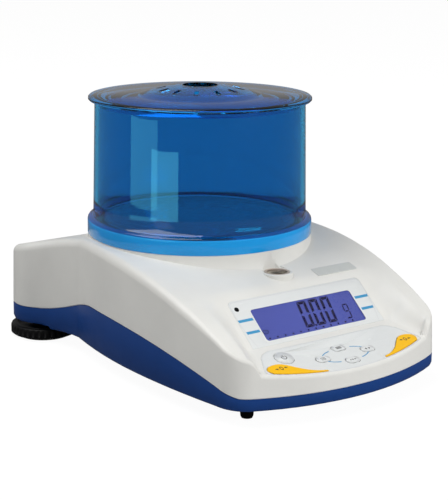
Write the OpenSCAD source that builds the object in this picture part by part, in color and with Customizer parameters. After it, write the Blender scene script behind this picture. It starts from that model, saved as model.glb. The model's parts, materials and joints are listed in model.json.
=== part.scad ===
// Laboratory precision balance with a round draft shield, as an assembly of separate pieces.
// Millimetres. X is the user's right, Y the back, Z up. The origin lies under the middle of the
// outline, on the surface that the feet stand on.

/* [Housing outline] */
// Length from the front edge to the back of the foot wheels
body_l = 245; // [240:1:252]
// Half width at the widest point of the sides
side_w = 80; // [78:0.1:82]
// Half width where the sides meet the front corners
front_w = 75; // [73:0.1:77]
// Half width at the neck in front of the rear lobes
neck_w = 72; // [70:0.1:74]
// Y of the widest point
bulge_y = -20; // [-40:1:-10]
// Radius of the curved front edge in plan
front_r = 153.2; // [140:0.1:180]
// Radius of the front corners in plan
corner_r = 19; // [16:0.5:22]
// Radius of the lobes over the rear feet
lobe_r = 19.4; // [18:0.1:20]
// Radius of the hollow blend between side and lobe
blend_r = 62; // [50:1:70]

/* [Housing heights] */
// Height of the flat underside
base_z = 8.9; // [7:0.1:11]
// Height of the raised underside over the rear feet
lobe_z = 11.2; // [10.5:0.1:12.5]
// Height of the crown of the top
crown_z = 72; // [69:0.5:72.4]
// Y of the crown
crown_y = 38; // [30:1:46]
// How far the top falls from the crown to the front of the shoulders
front_fall = 34.6; // [33:0.1:36]
// How far the top falls from the crown to the back edge
rear_fall = 17.2; // [14:0.1:19]
// Height of the seam between the two housings along the front
seam_front_z = 16.2; // [15:0.1:17.5]
// Height of the seam at its highest point, on the sides
seam_side_z = 34.6; // [32:0.1:36]
// Height of the seam around the rear lobes
seam_rear_z = 21.9; // [20:0.1:24]
// Radius of the rounded top edge along the sides and the back
edge_r = 5; // [4:0.5:6]
// Radius of the rounded top edge along the front
front_edge_r = 2.6; // [2:0.1:3.5]
// Lean of the upper walls, as an inset at the top edge
wall_lean = 0.8; // [0.2:0.1:1.2]
// Wall thickness of both housings
wall_t = 2.4; // [2:0.1:3]

/* [Control panel] */
// Slope of the display face, in degrees
disp_tilt = 40.1; // [36:0.1:43]
// Distance of the middle of the display window behind the front edge
disp_in = 45.55; // [44:0.05:47]
// Z of the middle of the display window
disp_z = 43.45; // [42:0.05:44.5]
// Slope of the keypad face, in degrees
key_tilt = 16; // [14:0.5:17]
// Distance of the middle of the keypad behind the front edge
key_in = 13.8; // [13:0.1:15]
// Z of the middle of the keypad
key_z = 28.5; // [28:0.1:29.2]
// Half width of the hollow's floor at the display
floor_w = 50; // [49:0.1:52]
// Half width of the hollow's floor at the front of the keypad
floor_front_w = 59; // [57:0.1:60]
// Half width at which the hollow's sides reach the shoulders
shoulder_w = 65.5; // [64:0.5:70]
// Width of the display window
window_w = 72.6; // [64:0.1:78]
// Height of the display window along the slope
window_h = 21.6; // [18:0.1:24]
// Thickness of the printed faces and the window
face_t = 1; // [0.8:0.1:1.4]
// Travel of the keys
key_travel = 0.4; // [0.2:0.05:0.45]
// Gap around each key in its face
key_gap = 0.3; // [0.2:0.05:0.5]

/* [Weighing] */
// Y of the pan's axis
pan_y = 27.8; // [25:0.1:30]
// Radius of the weighing pan
pan_r = 60; // [50:0.5:60]
// Height of the top of the pan
pan_z = 81.5; // [81:0.1:84]
// Radius of the round platform under the shield
plinth_r = 68; // [67.5:0.1:70]
// Height of the platform
plinth_z = 72.6; // [72.5:0.1:74]
// Outside radius of the raised rim that centres the shield
rim_r = 65.3; // [64.5:0.1:65.5]
// Height of the raised rim above the platform
rim_h = 6.4; // [5:0.1:6.6]
// Length of the load cell
cell_l = 112; // [104:1:116]
// Width of the load cell
cell_w = 24; // [20:1:28]
// Height of the load cell
cell_h = 22; // [20:0.5:24]
// Downward travel of the pan carrier under full load
load_travel = 0.45; // [0.3:0.05:0.5]

/* [Draft shield] */
// Outside radius of the shield's skirt
skirt_r = 68.2; // [68:0.1:70]
// Height of the skirt
skirt_h = 10.2; // [9.4:0.1:12]
// Outside radius of the shield just above its skirt
shield_r = 64.7; // [64.5:0.1:66]
// Narrowing of the shield's radius from skirt to top
shield_taper = 1.5; // [0.5:0.1:1.6]
// Height of the top edge of the shield
shield_top_z = 152.9; // [140:0.1:170]
// Thickness of the shield's wall
shield_t = 2.4; // [2:0.1:2.6]
// Radius of the lid
lid_r = 67; // [65.5:0.5:70]
// Thickness of the lid
lid_t = 2.5; // [2:0.1:3.5]
// Radius of the lid's dome
dome_r = 38; // [34:1:44]
// Rise of the lid's dome
dome_h = 6.5; // [4:0.5:9]
// Radius of the round port in the lid
port_r = 10.5; // [8:0.5:13]

/* [Feet] */
// Distance of the rear feet from the middle
foot_x = 68; // [67:0.1:69]
// Radius of the rear foot wheels
wheel_r = 21.2; // [20.4:0.1:21.6]
// Height of the top of the foot wheels
wheel_z = 8; // [7:0.1:8.4]
// Radius of the threaded studs of the rear feet
stud_r = 4; // [3:0.5:4.5]
// Distance of the front feet from the middle
front_foot_x = 55.4; // [52:0.1:57]
// Distance of the front feet behind the front edge
front_foot_in = 30.1; // [27:0.1:33]
// Radius of the front feet
front_foot_r = 3.75; // [3.5:0.05:5]

/* [Hidden] */
$fn = 48;

// Colours
white_abs = [0.9, 0.9, 0.87];
blue_abs = [0.1, 0.22, 0.5];
panel_white = [0.93, 0.94, 0.97];
amber = [0.99, 0.77, 0.2];
tint = [0.05, 0.35, 0.7, 0.55];
rubber_black = [0.06, 0.06, 0.07];
steel = [0.72, 0.73, 0.75];
brass = [0.8, 0.65, 0.3];
board_green = [0.1, 0.4, 0.25];

// Outline
front_y = -body_l / 2;
disp_y = front_y + disp_in;
key_y = front_y + key_in;
front_foot_y = front_y + front_foot_in;
front_cy = front_y + front_r;
corner_x = front_w - corner_r;
corner_cy = front_cy - sqrt(pow(front_r - corner_r, 2) - corner_x * corner_x);
corner_from = asin(corner_x / (front_r - corner_r));
lobe_cy = body_l / 2 - wheel_r;
rear_y = lobe_cy + lobe_r;
blend_x = neck_w + blend_r;
neck_y = lobe_cy - sqrt(pow(lobe_r + blend_r, 2) - pow(blend_x - foot_x, 2));
blend_to = atan2(lobe_cy - neck_y, foot_x - blend_x);
bulge_slope = 2 * (side_w - front_w) / (bulge_y - corner_cy);
corner_to = 90 - atan(bulge_slope);

// Half width of the sides at a given y, between the front corner and the neck
function side_x(y) = y < bulge_y
    ? side_w - (side_w - front_w) * pow((bulge_y - y) / (bulge_y - corner_cy), 2)
    : side_w - (side_w - neck_w) * pow((y - bulge_y) / (neck_y - bulge_y), 2);

// Half width of the plan at a given y, from the front corner back
function half_width(y) = y < corner_cy
    ? corner_x + sqrt(max(0, corner_r * corner_r - pow(corner_cy - y, 2)))
    : side_x(y);

front_steps = 8;
corner_steps = 9;
side_steps = 12;
blend_steps = 6;
lobe_steps = 12;
side_from = corner_cy + 3;
side_to = neck_y - 4;

// Right half of the outline, from just beside the front centre to the rear corner
half_line = concat(
    [for (i = [1:front_steps]) let (a = corner_from * i / front_steps)
        [front_r * sin(a), front_cy - front_r * cos(a)]],
    [for (i = [1:corner_steps]) let (a = corner_from + (corner_to - corner_from) * i / corner_steps)
        [corner_x + corner_r * sin(a), corner_cy - corner_r * cos(a)]],
    [for (i = [0:side_steps]) let (y = side_from + (side_to - side_from) * i / side_steps)
        [side_x(y), y]],
    [for (i = [0:blend_steps - 1]) let (a = 180 + (blend_to - 180) * i / blend_steps)
        [blend_x + blend_r * cos(a), neck_y + blend_r * sin(a)]],
    [for (i = [0:lobe_steps]) let (a = blend_to - 180 + (270 - blend_to) * i / lobe_steps)
        [foot_x + lobe_r * cos(a), lobe_cy + lobe_r * sin(a)]]
);
rows = len(half_line);

// The hollow of the control panel
front_run = 142;
front_power = 2.4;
rear_power = 1.5;
panel_back_y = key_y + 16.7;
panel_front_y = key_y + 0.7;
crease_y = (disp_y * tan(disp_tilt) - key_y * tan(key_tilt) + key_z - disp_z)
    / (tan(disp_tilt) - tan(key_tilt));
crease_round = 2.4;

// Height of the top surface along the middle, without the hollow
function crown(y) = y < crown_y
    ? crown_z - front_fall * pow((crown_y - y) / front_run, front_power)
    : crown_z - rear_fall * pow((y - crown_y) / (rear_y - crown_y), rear_power);
// The two faces that make the floor of the hollow
function display_plane(y) = disp_z + (y - disp_y) * tan(disp_tilt);
function keypad_plane(y) = key_z + (y - key_y) * tan(key_tilt);
function hollow_floor(y) = max(display_plane(y), keypad_plane(y));
// The lower of two heights, with the crease between them rounded
function soft_min(a, b, k) = min(a, b) - pow(max(k - abs(a - b), 0), 2) / (4 * k);
function s_curve(t) = let (u = min(max(t, 0), 1)) u * u * (3 - 2 * u);
// Half widths of the hollow's floor and of its shoulders
function floor_x(y) = floor_w + (floor_front_w - floor_w)
    * min(max((panel_back_y - y) / (panel_back_y - panel_front_y), 0), 1);
function shoulder_x(y) = max(min(shoulder_w, half_width(y) - edge_r), floor_x(y) + 0.8);
// Height of the top surface
function top_z(x, y) = let (
        crest = crown(y),
        low = soft_min(crest, hollow_floor(y), crease_round),
        rise = y < crown_y - 60 ? s_curve((abs(x) - floor_x(y)) / (shoulder_x(y) - floor_x(y))) : 1)
    low + (crest - low) * rise;

// Height of the seam between the housings
seam_top_y = 15;
seam_low_y = corner_cy - 12.7;
seam_power = 2.05;
seam_flat_y = 30;
seam_lobe_y = 88;
function seam(y) = y < seam_low_y ? seam_front_z
    : y < seam_top_y
        ? seam_side_z
            - (seam_side_z - seam_front_z) * pow((seam_top_y - y) / (seam_top_y - seam_low_y), seam_power)
        : seam_rear_z + (seam_side_z - seam_rear_z) * s_curve((seam_lobe_y - y) / (seam_lobe_y - seam_flat_y));

// Places across a row of the top surface, from its right end to its left end
function half_places(y, w) = let (
        a = min(floor_x(y), 0.86 * w),
        b = max(min(shoulder_x(y), 0.97 * w), a + 0.05 * w))
    [0, a / 4, a / 2, a * 3 / 4, a, a + (b - a) / 6, a + (b - a) / 3, a + (b - a) / 2,
        a + (b - a) * 2 / 3, a + (b - a) * 5 / 6, b, w];
half_cols = 11;
cols = 2 * half_cols;
function place(y, w, c) = let (h = half_places(y, w))
    c <= half_cols ? h[half_cols - c] : -h[c - half_cols];

// The whole outline, anticlockwise from the front centre
plan = concat(
    [[0, front_y]],
    half_line,
    [for (c = [1:cols - 1]) [place(rear_y, foot_x, c), rear_y]],
    [for (i = [rows - 1:-1:0]) [-half_line[i][0], half_line[i][1]]]
);
plan_n = len(plan);

// The outline moved inwards by d
function unit(v) = v / norm(v);
function inset_point(p, i, d) = let (
        n = len(p),
        t = unit(p[(i + 1) % n] - p[(i + n - 1) % n]))
    p[i] + d * [-t[1], t[0]];
function inset(p, d) = [for (i = [0:len(p) - 1]) inset_point(p, i, d)];

// Faces of a stack of rings whose ends are zipped across the width, as lists of point numbers
function band_faces(rings) = [
    for (r = [0:rings - 2], j = [0:plan_n - 1])
        let (a = r * plan_n + j, b = r * plan_n + (j + 1) % plan_n, c = b + plan_n, d = a + plan_n)
            each [[a, d, c], [a, c, b]]
];
function right_of(i) = i;
function left_of(i) = plan_n - i;
function under_faces() = concat(
    [[0, right_of(1), left_of(1)]],
    [for (i = [1:rows - 2])
        each [[right_of(i), right_of(i + 1), left_of(i + 1)], [right_of(i), left_of(i + 1), left_of(i)]]],
    [for (c = [0:cols - 1]) [right_of(rows - 1), rows + c, rows + c + 1]],
    [[right_of(rows - 1), left_of(rows), left_of(rows - 1)]]
);
function over_faces(base) = [for (f = under_faces()) [base + f[0], base + f[2], base + f[1]]];

// Upper shell: rings up the wall and round the top edge, then a grid over the top
lip = 0.5;
round_steps = 3;
edge_run = 40;
function edge_at(y) = front_edge_r + (edge_r - front_edge_r) * s_curve((y - corner_cy + 10) / edge_run);
edges = [for (p = plan) edge_at(p[1])];
top_ring = [for (i = [0:plan_n - 1]) inset_point(plan, i, wall_lean + edges[i])];
function edge_ring(a) = [for (i = [0:plan_n - 1])
    let (p = inset_point(plan, i, wall_lean + edges[i] * (1 - cos(a))))
        [p[0], p[1], top_z(top_ring[i][0], top_ring[i][1]) - edges[i] * (1 - sin(a))]];
upper_rings = concat(
    [for (p = inset(plan, lip)) [p[0], p[1], seam(p[1])]],
    [for (p = plan) [p[0], p[1], seam(p[1]) + lip]],
    [for (s = [0:round_steps]) each edge_ring(90 * s / round_steps)]
);
upper_ring_count = 3 + round_steps;
top_base = (upper_ring_count - 1) * plan_n;
grid_base = upper_ring_count * plan_n;
grid = [for (i = [1:rows - 1], c = [1:cols - 1])
    let (p = top_ring[i], x = place(p[1], p[0], c)) [x, p[1], top_z(x, p[1])]];
function grid_at(i, c) = c == 0 ? top_base + right_of(i)
    : c == cols ? top_base + left_of(i)
    : i == rows ? top_base + rows + c
    : grid_base + (i - 1) * (cols - 1) + c - 1;
top_faces = concat(
    [for (c = [0:cols - 1]) [top_base, grid_at(1, c + 1), grid_at(1, c)]],
    [for (i = [1:rows - 1], c = [0:cols - 1])
        each [[grid_at(i, c), grid_at(i, c + 1), grid_at(i + 1, c + 1)],
            [grid_at(i, c), grid_at(i + 1, c + 1), grid_at(i + 1, c)]]]
);

// Lower shell: rounded bottom edge, raised over the rear feet
bottom_round = 2;
foot_well_r = wheel_r + 2.6;
function under_z(p) = norm([abs(p[0]) - foot_x, p[1] - lobe_cy]) < foot_well_r ? lobe_z : base_z;
lower_rings = concat(
    [for (p = inset(plan, bottom_round + 0.1)) [p[0], p[1], base_z]],
    [for (i = [0:plan_n - 1]) let (p = inset_point(plan, i, bottom_round)) [p[0], p[1], under_z(plan[i])]],
    [for (i = [0:plan_n - 1]) let (p = inset_point(plan, i, bottom_round * 0.3))
        [p[0], p[1], under_z(plan[i]) + bottom_round * 0.3]],
    [for (p = plan) [p[0], p[1], under_z(p) + bottom_round]],
    [for (p = plan) [p[0], p[1], seam(p[1]) - lip]],
    [for (p = inset(plan, lip)) [p[0], p[1], seam(p[1])]]
);
lower_ring_count = 6;

// Inside the housings
floor_z = base_z + wall_t;
boss_z = 24;
cavity_back_y = rear_y - 2 * wall_t;
recess_depth = wall_t - 0.4;
post_r = 4;
screw_places = [[60, front_y + 38.5], [66, 6], [35, rear_y - 27.7]];
screw_r = 1.3;
screw_head_r = 3;
screw_gap = 0.1;
screw_sink = 5;
foot_boss_r = 8.5;
insert_r = 6;
insert_h = 11;
foot_boss_h = 15;
stud_gap = 0.08;

// Depth of the roof under the top surface at y, measured upright
function roof_z(y) = let (s = (top_z(0, y + 0.5) - top_z(0, y - 0.5)))
    top_z(0, y) - wall_t * sqrt(1 + s * s) - (y < crease_y + 36 ? face_t : 0);
roof_steps = 12;
roof_places = concat(
    [for (i = [0:roof_steps]) cavity_back_y + (disp_y + 20 - cavity_back_y) * i / roof_steps],
    [disp_y + 14, disp_y, crease_y, key_y, front_y + 4]);
roof_line = concat([[cavity_back_y, 0]], [for (y = roof_places) [y, roof_z(y)]], [[front_y + 4, 0]]);

// Places on the two faces of the panel
module on_display() {
    translate([0, disp_y, disp_z])
        rotate([disp_tilt, 0, 0])
            children();
}
module on_keypad() {
    translate([0, key_y, key_z])
        rotate([key_tilt, 0, 0])
            children();
}
function display_v(y) = (y - disp_y) / cos(disp_tilt);
function keypad_v(y) = (y - key_y) / cos(key_tilt);

// Printed face of the display, in its own plane
face_gap = 0.1;
display_face_w = floor_w - 2.4;
display_face_top = 18;
display_face_low = display_v(crease_y) + 0.4;
face_corner = 3;
module display_face_outline(d) {
    w = display_face_w + d;
    r = face_corner + d;
    union() {
        translate([-w, display_face_low - d])
            square([2 * w, display_face_top + d - r - display_face_low + d]);
        translate([-w + r, display_face_low - d])
            square([2 * (w - r), display_face_top - display_face_low + 2 * d]);
        for (s = [-1, 1])
            translate([s * (w - r), display_face_top + d - r])
                circle(r = r);
    }
}
module window_outline(d) {
    square([window_w + 2 * d, window_h + 2 * d], center = true);
}

// Printed face of the keypad, in its own plane: straight at the crease, curved along the front
face_margin = 3.1;
face_front = 2.3;
keypad_face_back = crease_y - 3.6;
function front_arc(x, d) = front_cy - sqrt(pow(front_r - d, 2) - x * x);
keypad_corner_y = front_arc(floor_front_w - face_margin - 3, face_front);
function keypad_edge(y) = floor_x(y) - face_margin;
keypad_half = concat(
    [for (x = [9:9:54]) [x, front_arc(x, face_front)]],
    [[keypad_edge(keypad_corner_y) - 0.9, keypad_corner_y + 1.1]],
    [for (t = [0:3]) let (y = keypad_corner_y + 3.2 + (keypad_face_back - 7.6 - keypad_corner_y) * t / 3)
        [keypad_edge(y), y]],
    [[keypad_edge(keypad_face_back) - 1.4, keypad_face_back - 1.6]],
    [[keypad_edge(keypad_face_back) - 5.6, keypad_face_back]]
);
keypad_line = [for (p = concat(
    [[0, front_y + face_front]], keypad_half,
    [for (i = [len(keypad_half) - 1:-1:0]) [-keypad_half[i][0], keypad_half[i][1]]]))
    [p[0], keypad_v(p[1])]];

// Points of a cubic curve from a to d
function bend(a, b, c, d, n) = [for (i = [0:n - 1]) let (t = i / n, u = 1 - t)
    u * u * u * a + 3 * u * u * t * b + 3 * u * t * t * c + t * t * t * d];
// Leaf of a tare key, for the left one, from its outer end round to its point
tare_margin = 1;
tare_tip_x = -20.8;
tare_end_x = -51.4;
tare_tip_h = 0.8;
function tare_front(x) = [x, front_arc(x, face_front + tare_margin)];
tare_line = [for (p = concat(
    bend(tare_front(tare_end_x), [-55.2, key_y + 2.5], [-52.4, key_y + 5.5], [-45.6, key_y + 5.3], 7),
    bend([-45.6, key_y + 5.3], [-37.8, key_y + 5.1], [-36, key_y - 5.6],
        tare_front(tare_tip_x) + [0, tare_tip_h], 10),
    [tare_front(tare_tip_x) + [0, tare_tip_h]],
    [for (i = [0:8]) tare_front(tare_tip_x + (tare_end_x - tare_tip_x) * i / 9)]))
    [p[0], keypad_v(p[1])]];
tare_stem = [-45, keypad_v(key_y + 1.6)];
power_place = [-36.4, keypad_v(key_y + 9.2)];
power_r = 5.4;
oval_w = 9;
oval_h = 5;
oval_ring = [16, 6.2];
oval_mid = keypad_v(key_y + 1);
function oval_place(k) = [oval_ring[0] * cos(90 * k), oval_mid + oval_ring[1] * sin(90 * k)];
stem_r = 2.2;
stem_bottom = -6;
key_top = 0.4;
cap_bottom = -face_t + key_travel + 0.1;
module oval_outline(d) {
    hull()
        for (s = [-1, 1])
            translate([s * (oval_w - oval_h) / 2, 0])
                circle(r = oval_h / 2 + d, $fn = 32);
}
module keypad_openings(d) {
    polygon(inset(tare_line, d));
    mirror([1, 0])
        polygon(inset(tare_line, d));
    translate(power_place)
        circle(r = power_r + d);
    for (k = [0:3])
        translate(oval_place(k))
            oval_outline(d);
}
stem_places = [tare_stem, [-tare_stem[0], tare_stem[1]], power_place,
    oval_place(0), oval_place(1), oval_place(2), oval_place(3)];

// Level
level_y = front_y + 74.7;
level_z = crown(level_y) + 0.5;
level_boss_r = 9.4;
level_hole_r = 7.4;
level_cup_r = 7.3;
level_vial_r = 6;
level_depth = 7;
level_flare_r = 4.5;

// Pan, carrier and load cell
flare_r = 12;
flare_start = 40;
flare_low = plinth_z - 14.6;
hub_r = 6;
post_hole_r = 8.4;
collar_r = 10.6;
collar_h = 1.9;
pan_t = 1.2;
pan_rim_h = 4.4;
pad_r = 5;
pad_t = 1.8;
pad_ring = 40;
arm_t = 3;
arm_w = 12;
arm_z = pan_z - pan_t - pad_t - arm_t;
cell_z = floor_z + 10.7;
cell_back_y = pan_y + 66;
cell_front_y = cell_back_y - cell_l;
cell_end = 24;
spacer_t = 1;
plate_t = 3;
plate_z = cell_z + cell_h + spacer_t;
flex_r = 6.2;
cell_screw_r = 2.5;
cell_screw_pitch = 12;
cell_screw_in = 10;
cell_hole_in = 12;
cell_head_r = 4;
cell_head_h = 2.4;
cell_head_sink = 0.2;
stop_gap = load_travel + 0.1;

// Boards
board_t = 1.6;
main_z = floor_z + 4;
main_w = 92;
main_l = 62;
main_front_y = front_y + 36.5;
main_back_y = main_front_y + main_l;
screw_in = 6;
main_screws = [[main_w / 2 - screw_in, main_front_y + screw_in],
    [main_w / 2 - screw_in, main_back_y - screw_in]];
panel_depth = face_t + wall_t;
lcd_margin = 2;
lcd_gap = 0.2;
lcd_t = 2.6;
lcd_v = -face_t - 0.1 - lcd_t;
light_t = 3;
bezel_t = 1.5;
display_board_v = lcd_v - light_t;
display_board_w = 94;
display_board_h = 36;
display_screws = [[43.5, 4.5], [43.5, -13.5]];
switch_gap = key_travel + 0.1;
switch_h = 3.5;
keypad_board_v = stem_bottom - switch_gap - switch_h;
keypad_screws = [[24, keypad_v(key_y + 7.2)], [28, keypad_v(key_y - 2.8)]];
panel_post_r = 2.6;
panel_screw_r = 1;

// Battery compartment, right of the load cell
battery_x = 40;
battery_y = 30;
battery_w = 34;
battery_l = 66;
battery_h = 20;
battery_gap = 0.4;
bay_wall = 1.6;
door_t = 2;
door_gap = 0.3;
door_w = battery_w - 2 * door_gap;

// Back panel
port_z = seam_rear_z + 14;
port_board_y = cavity_back_y - 9;
recess_w = 104;
recess_h = 19;
inlet_x = -36;
serial_x = -4;
usb_x = 30;
lock_x = 46;
serial_w = 31;
serial_h = 12.6;
usb_w = 12.2;
usb_h = 11;
inlet_w = 9.4;
port_gap = 0.25;
port_face_y = rear_y - recess_depth - 0.3;

// Shared shapes
module both_sides() {
    children();
    mirror([1, 0, 0])
        children();
}
module at_screws() {
    both_sides()
        for (p = screw_places)
            translate([p[0], p[1], 0])
                children();
}
module plan_prism(d, z0, z1) {
    translate([0, 0, z0])
        linear_extrude(height = z1 - z0)
            polygon(inset(plan, d));
}
module ring_solid(r_out, r_in, h) {
    difference() {
        cylinder(r = r_out, h = h);
        translate([0, 0, -1])
            cylinder(r = r_in, h = h + 2);
    }
}
module at_cell_back() {
    for (s = [-1, 1])
        translate([0, cell_back_y - cell_end / 2 + s * cell_screw_pitch / 2, 0])
            children();
}
module at_cell_front() {
    for (s = [-1, 1])
        translate([0, cell_front_y + cell_end / 2 + s * cell_screw_pitch / 2, 0])
            children();
}
module at_pan() {
    translate([0, pan_y, 0])
        children();
}

// Upper housing
module upper_skin() {
    polyhedron(points = concat(upper_rings, grid),
        faces = concat(band_faces(upper_ring_count), under_faces(), top_faces), convexity = 6);
}
module upper_cavity() {
    union() {
        intersection() {
            plan_prism(wall_t + wall_lean, base_z, crown_z);
            translate([-side_w - lobe_r, 0, 0])
                rotate([90, 0, 90])
                    linear_extrude(height = 2 * (side_w + lobe_r))
                        polygon(roof_line);
        }
        at_pan()
            translate([0, 0, seam_side_z])
                cylinder(r = plinth_r - wall_t, h = plinth_z - wall_t - seam_side_z, $fn = 96);
    }
}
module upper_posts() {
    at_screws()
        translate([0, 0, boss_z])
            cylinder(r = post_r, h = crown_z);
    on_display()
        both_sides()
            for (p = display_screws)
                translate([p[0], p[1], display_board_v])
                    cylinder(r = panel_post_r, h = -display_board_v);
    on_keypad()
        both_sides()
            for (p = keypad_screws)
                translate([p[0], p[1], keypad_board_v])
                    cylinder(r = panel_post_r, h = -keypad_board_v);
    translate([0, level_y, level_z - level_depth - wall_t])
        cylinder(r = level_boss_r, h = level_depth);
}
module panel_cuts() {
    on_display() {
        translate([0, 0, -face_t])
            linear_extrude(height = face_t + 8)
                display_face_outline(face_gap);
        translate([0, 0, -panel_depth - 4])
            linear_extrude(height = panel_depth + 6)
                window_outline(lcd_margin + lcd_gap);
        translate([indicator_place[0], indicator_place[1], -panel_depth - 4])
            cylinder(r = indicator_r + 0.1, h = panel_depth + 6);
        both_sides()
            for (p = display_screws)
                translate([p[0], p[1], display_board_v - 1])
                    cylinder(r = panel_screw_r + 0.05, h = 5);
    }
    on_keypad() {
        translate([0, 0, -face_t])
            linear_extrude(height = face_t + 8)
                polygon(inset(keypad_line, -face_gap));
        for (p = stem_places)
            translate([p[0], p[1], -panel_depth - 4])
                cylinder(r = stem_r + key_gap, h = panel_depth + 6);
        both_sides()
            for (p = keypad_screws)
                translate([p[0], p[1], keypad_board_v - 1])
                    cylinder(r = panel_screw_r + 0.05, h = 5);
    }
}
module back_cuts() {
    translate([-recess_w / 2, rear_y - recess_depth, port_z - recess_h / 2])
        cube([recess_w, recess_depth + 2, recess_h]);
    translate([serial_x - serial_w / 2 - port_gap, cavity_back_y - 3, port_z - serial_h / 2 - port_gap])
        cube([serial_w + 2 * port_gap, 12, serial_h + 2 * port_gap]);
    translate([usb_x - usb_w / 2 - port_gap, cavity_back_y - 3, port_z - usb_h / 2 - port_gap])
        cube([usb_w + 2 * port_gap, 12, usb_h + 2 * port_gap]);
    translate([inlet_x - inlet_w / 2 - port_gap, cavity_back_y - 3, port_z - inlet_w / 2 - port_gap])
        cube([inlet_w + 2 * port_gap, 12, inlet_w + 2 * port_gap]);
    translate([lock_x - 1.5, cavity_back_y - 3, port_z - 3.5])
        cube([3, 12, 7]);
}
module upper_housing() {
    color(white_abs)
        difference() {
            union() {
                upper_skin();
                at_pan()
                    translate([0, 0, crown(pan_y - plinth_r) - 3])
                        cylinder(r = plinth_r, h = plinth_z - crown(pan_y - plinth_r) + 3, $fn = 96);
                at_pan()
                    rotate_extrude($fn = 96)
                        polygon(concat(
                            [[plinth_r - 1, flare_low],
                                [plinth_r + flare_r * (1 - sin(flare_start)), flare_low]],
                            [for (a = [flare_start:10:90])
                                [plinth_r + flare_r * (1 - sin(a)), flare_low + flare_r * (1 - cos(a))]],
                            [[plinth_r - 1, flare_low + flare_r]]));
                at_pan()
                    translate([0, 0, plinth_z - 1])
                        ring_solid(rim_r, rim_r - wall_t, rim_h + 1);
                at_pan()
                    translate([0, 0, plinth_z - 1])
                        cylinder(r = collar_r, h = collar_h + 1);
                translate([0, level_y, level_z - level_depth])
                    rotate_extrude()
                        polygon(concat(
                            [[0, 0], [level_boss_r + level_flare_r, 0]],
                            [for (a = [15:15:75])
                                [level_boss_r + level_flare_r * (1 - sin(a)), level_flare_r * (1 - cos(a))]],
                            [[level_boss_r, level_flare_r], [level_boss_r, level_depth], [0, level_depth]]));
            }
            difference() {
                upper_cavity();
                upper_posts();
            }
            translate([0, level_y, level_z])
                cylinder(r = level_boss_r, h = 8);
            translate([0, level_y, level_z - level_depth])
                cylinder(r = level_hole_r, h = level_depth + 1);
            at_pan()
                translate([0, 0, plinth_z - wall_t - 2])
                    cylinder(r = post_hole_r, h = 10);
            at_screws()
                translate([0, 0, boss_z - 1])
                    cylinder(r = screw_r + screw_gap, h = 9);
            panel_cuts();
            back_cuts();
        }
}

// Lower housing
module lower_skin() {
    polyhedron(points = lower_rings,
        faces = concat(band_faces(lower_ring_count), under_faces(), over_faces((lower_ring_count - 1) * plan_n)),
        convexity = 6);
}
module at_feet() {
    both_sides()
        translate([foot_x, lobe_cy, 0])
            children();
}
module battery_block(d, z0, z1) {
    translate([battery_x - battery_w / 2 - d, battery_y - battery_l / 2 - d, z0])
        cube([battery_w + 2 * d, battery_l + 2 * d, z1 - z0]);
}
bay_top = base_z + door_t + 0.2 + battery_h + battery_gap;
module base_inside() {
    difference() {
        plan_prism(wall_t, floor_z, seam_side_z + 2);
        at_feet()
            cylinder(r = foot_well_r + wall_t, h = lobe_z + wall_t);
        at_feet()
            cylinder(r = foot_boss_r, h = lobe_z + foot_boss_h);
        at_screws()
            cylinder(r = post_r, h = boss_z);
        both_sides()
            for (p = main_screws)
                translate([p[0], p[1], 0])
                    cylinder(r = panel_post_r, h = main_z);
        battery_block(battery_gap + bay_wall, floor_z - 1, bay_top + bay_wall);
        translate([-cell_w / 2 - 4, cell_back_y - cell_end - 4, floor_z - 1])
            cube([cell_w + 8, cell_end + 8, 3]);
        translate([0, cell_front_y + cell_end / 2, floor_z - 1])
            cylinder(r = 6, h = 4);
    }
}
module lower_housing() {
    color(blue_abs)
        union() {
            difference() {
                lower_skin();
                base_inside();
                at_feet()
                    cylinder(r = foot_well_r, h = lobe_z, $fn = 96);
                at_feet()
                    cylinder(r = stud_r + 0.6, h = lobe_z + foot_boss_h + 1);
                at_feet()
                    translate([0, 0, lobe_z + foot_boss_h - insert_h])
                        cylinder(r = insert_r + 0.02, h = insert_h + 1);
                at_screws() {
                    cylinder(r = screw_r + screw_gap + 0.4, h = boss_z + 1);
                    cylinder(r = screw_head_r + 0.3, h = base_z + screw_sink);
                }
                battery_block(battery_gap, base_z + door_t + 0.1, bay_top);
                translate([battery_x - battery_w / 2, battery_y - battery_l / 2, base_z - 1])
                    cube([battery_w, battery_l, door_t + 3]);
                both_sides()
                    for (p = main_screws)
                        translate([p[0], p[1], floor_z])
                            cylinder(r = panel_screw_r + 0.05, h = main_z);
                translate([0, cell_front_y + cell_end / 2, base_z - 1])
                    cylinder(r = 2.55, h = 20);
                at_cell_back() {
                    translate([0, 0, base_z - 1])
                        cylinder(r = cell_screw_r + 0.1, h = 20);
                    translate([0, 0, base_z - 1])
                        cylinder(r = cell_head_r + 0.3, h = 1 + cell_head_sink + cell_head_h);
                }
            }
        }
}

// Fasteners
module screw(head_r, head_h, r, l) {
    difference() {
        union() {
            cylinder(r = head_r, h = head_h);
            cylinder(r = r, h = head_h + l);
        }
        translate([0, 0, -0.1])
            for (a = [0, 90])
                rotate([0, 0, a])
                    translate([-head_r * 0.6, -0.35, 0])
                        cube([head_r * 1.2, 0.7, head_h * 0.5]);
    }
}
module housing_screws() {
    color(steel)
        at_screws()
            translate([0, 0, base_z + screw_sink - 2])
                screw(screw_head_r, 2, screw_r, boss_z + 7 - base_z - screw_sink);
}
module panel_screws() {
    color(steel) {
        on_display()
            both_sides()
                for (p = display_screws)
                    translate([p[0], p[1], display_board_v - board_t - 1.2])
                        screw(2, 1.2, panel_screw_r, 4.5);
        on_keypad()
            both_sides()
                for (p = keypad_screws)
                    translate([p[0], p[1], keypad_board_v - board_t - 1.2])
                        screw(2, 1.2, panel_screw_r, 4.5);
    }
}
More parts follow.
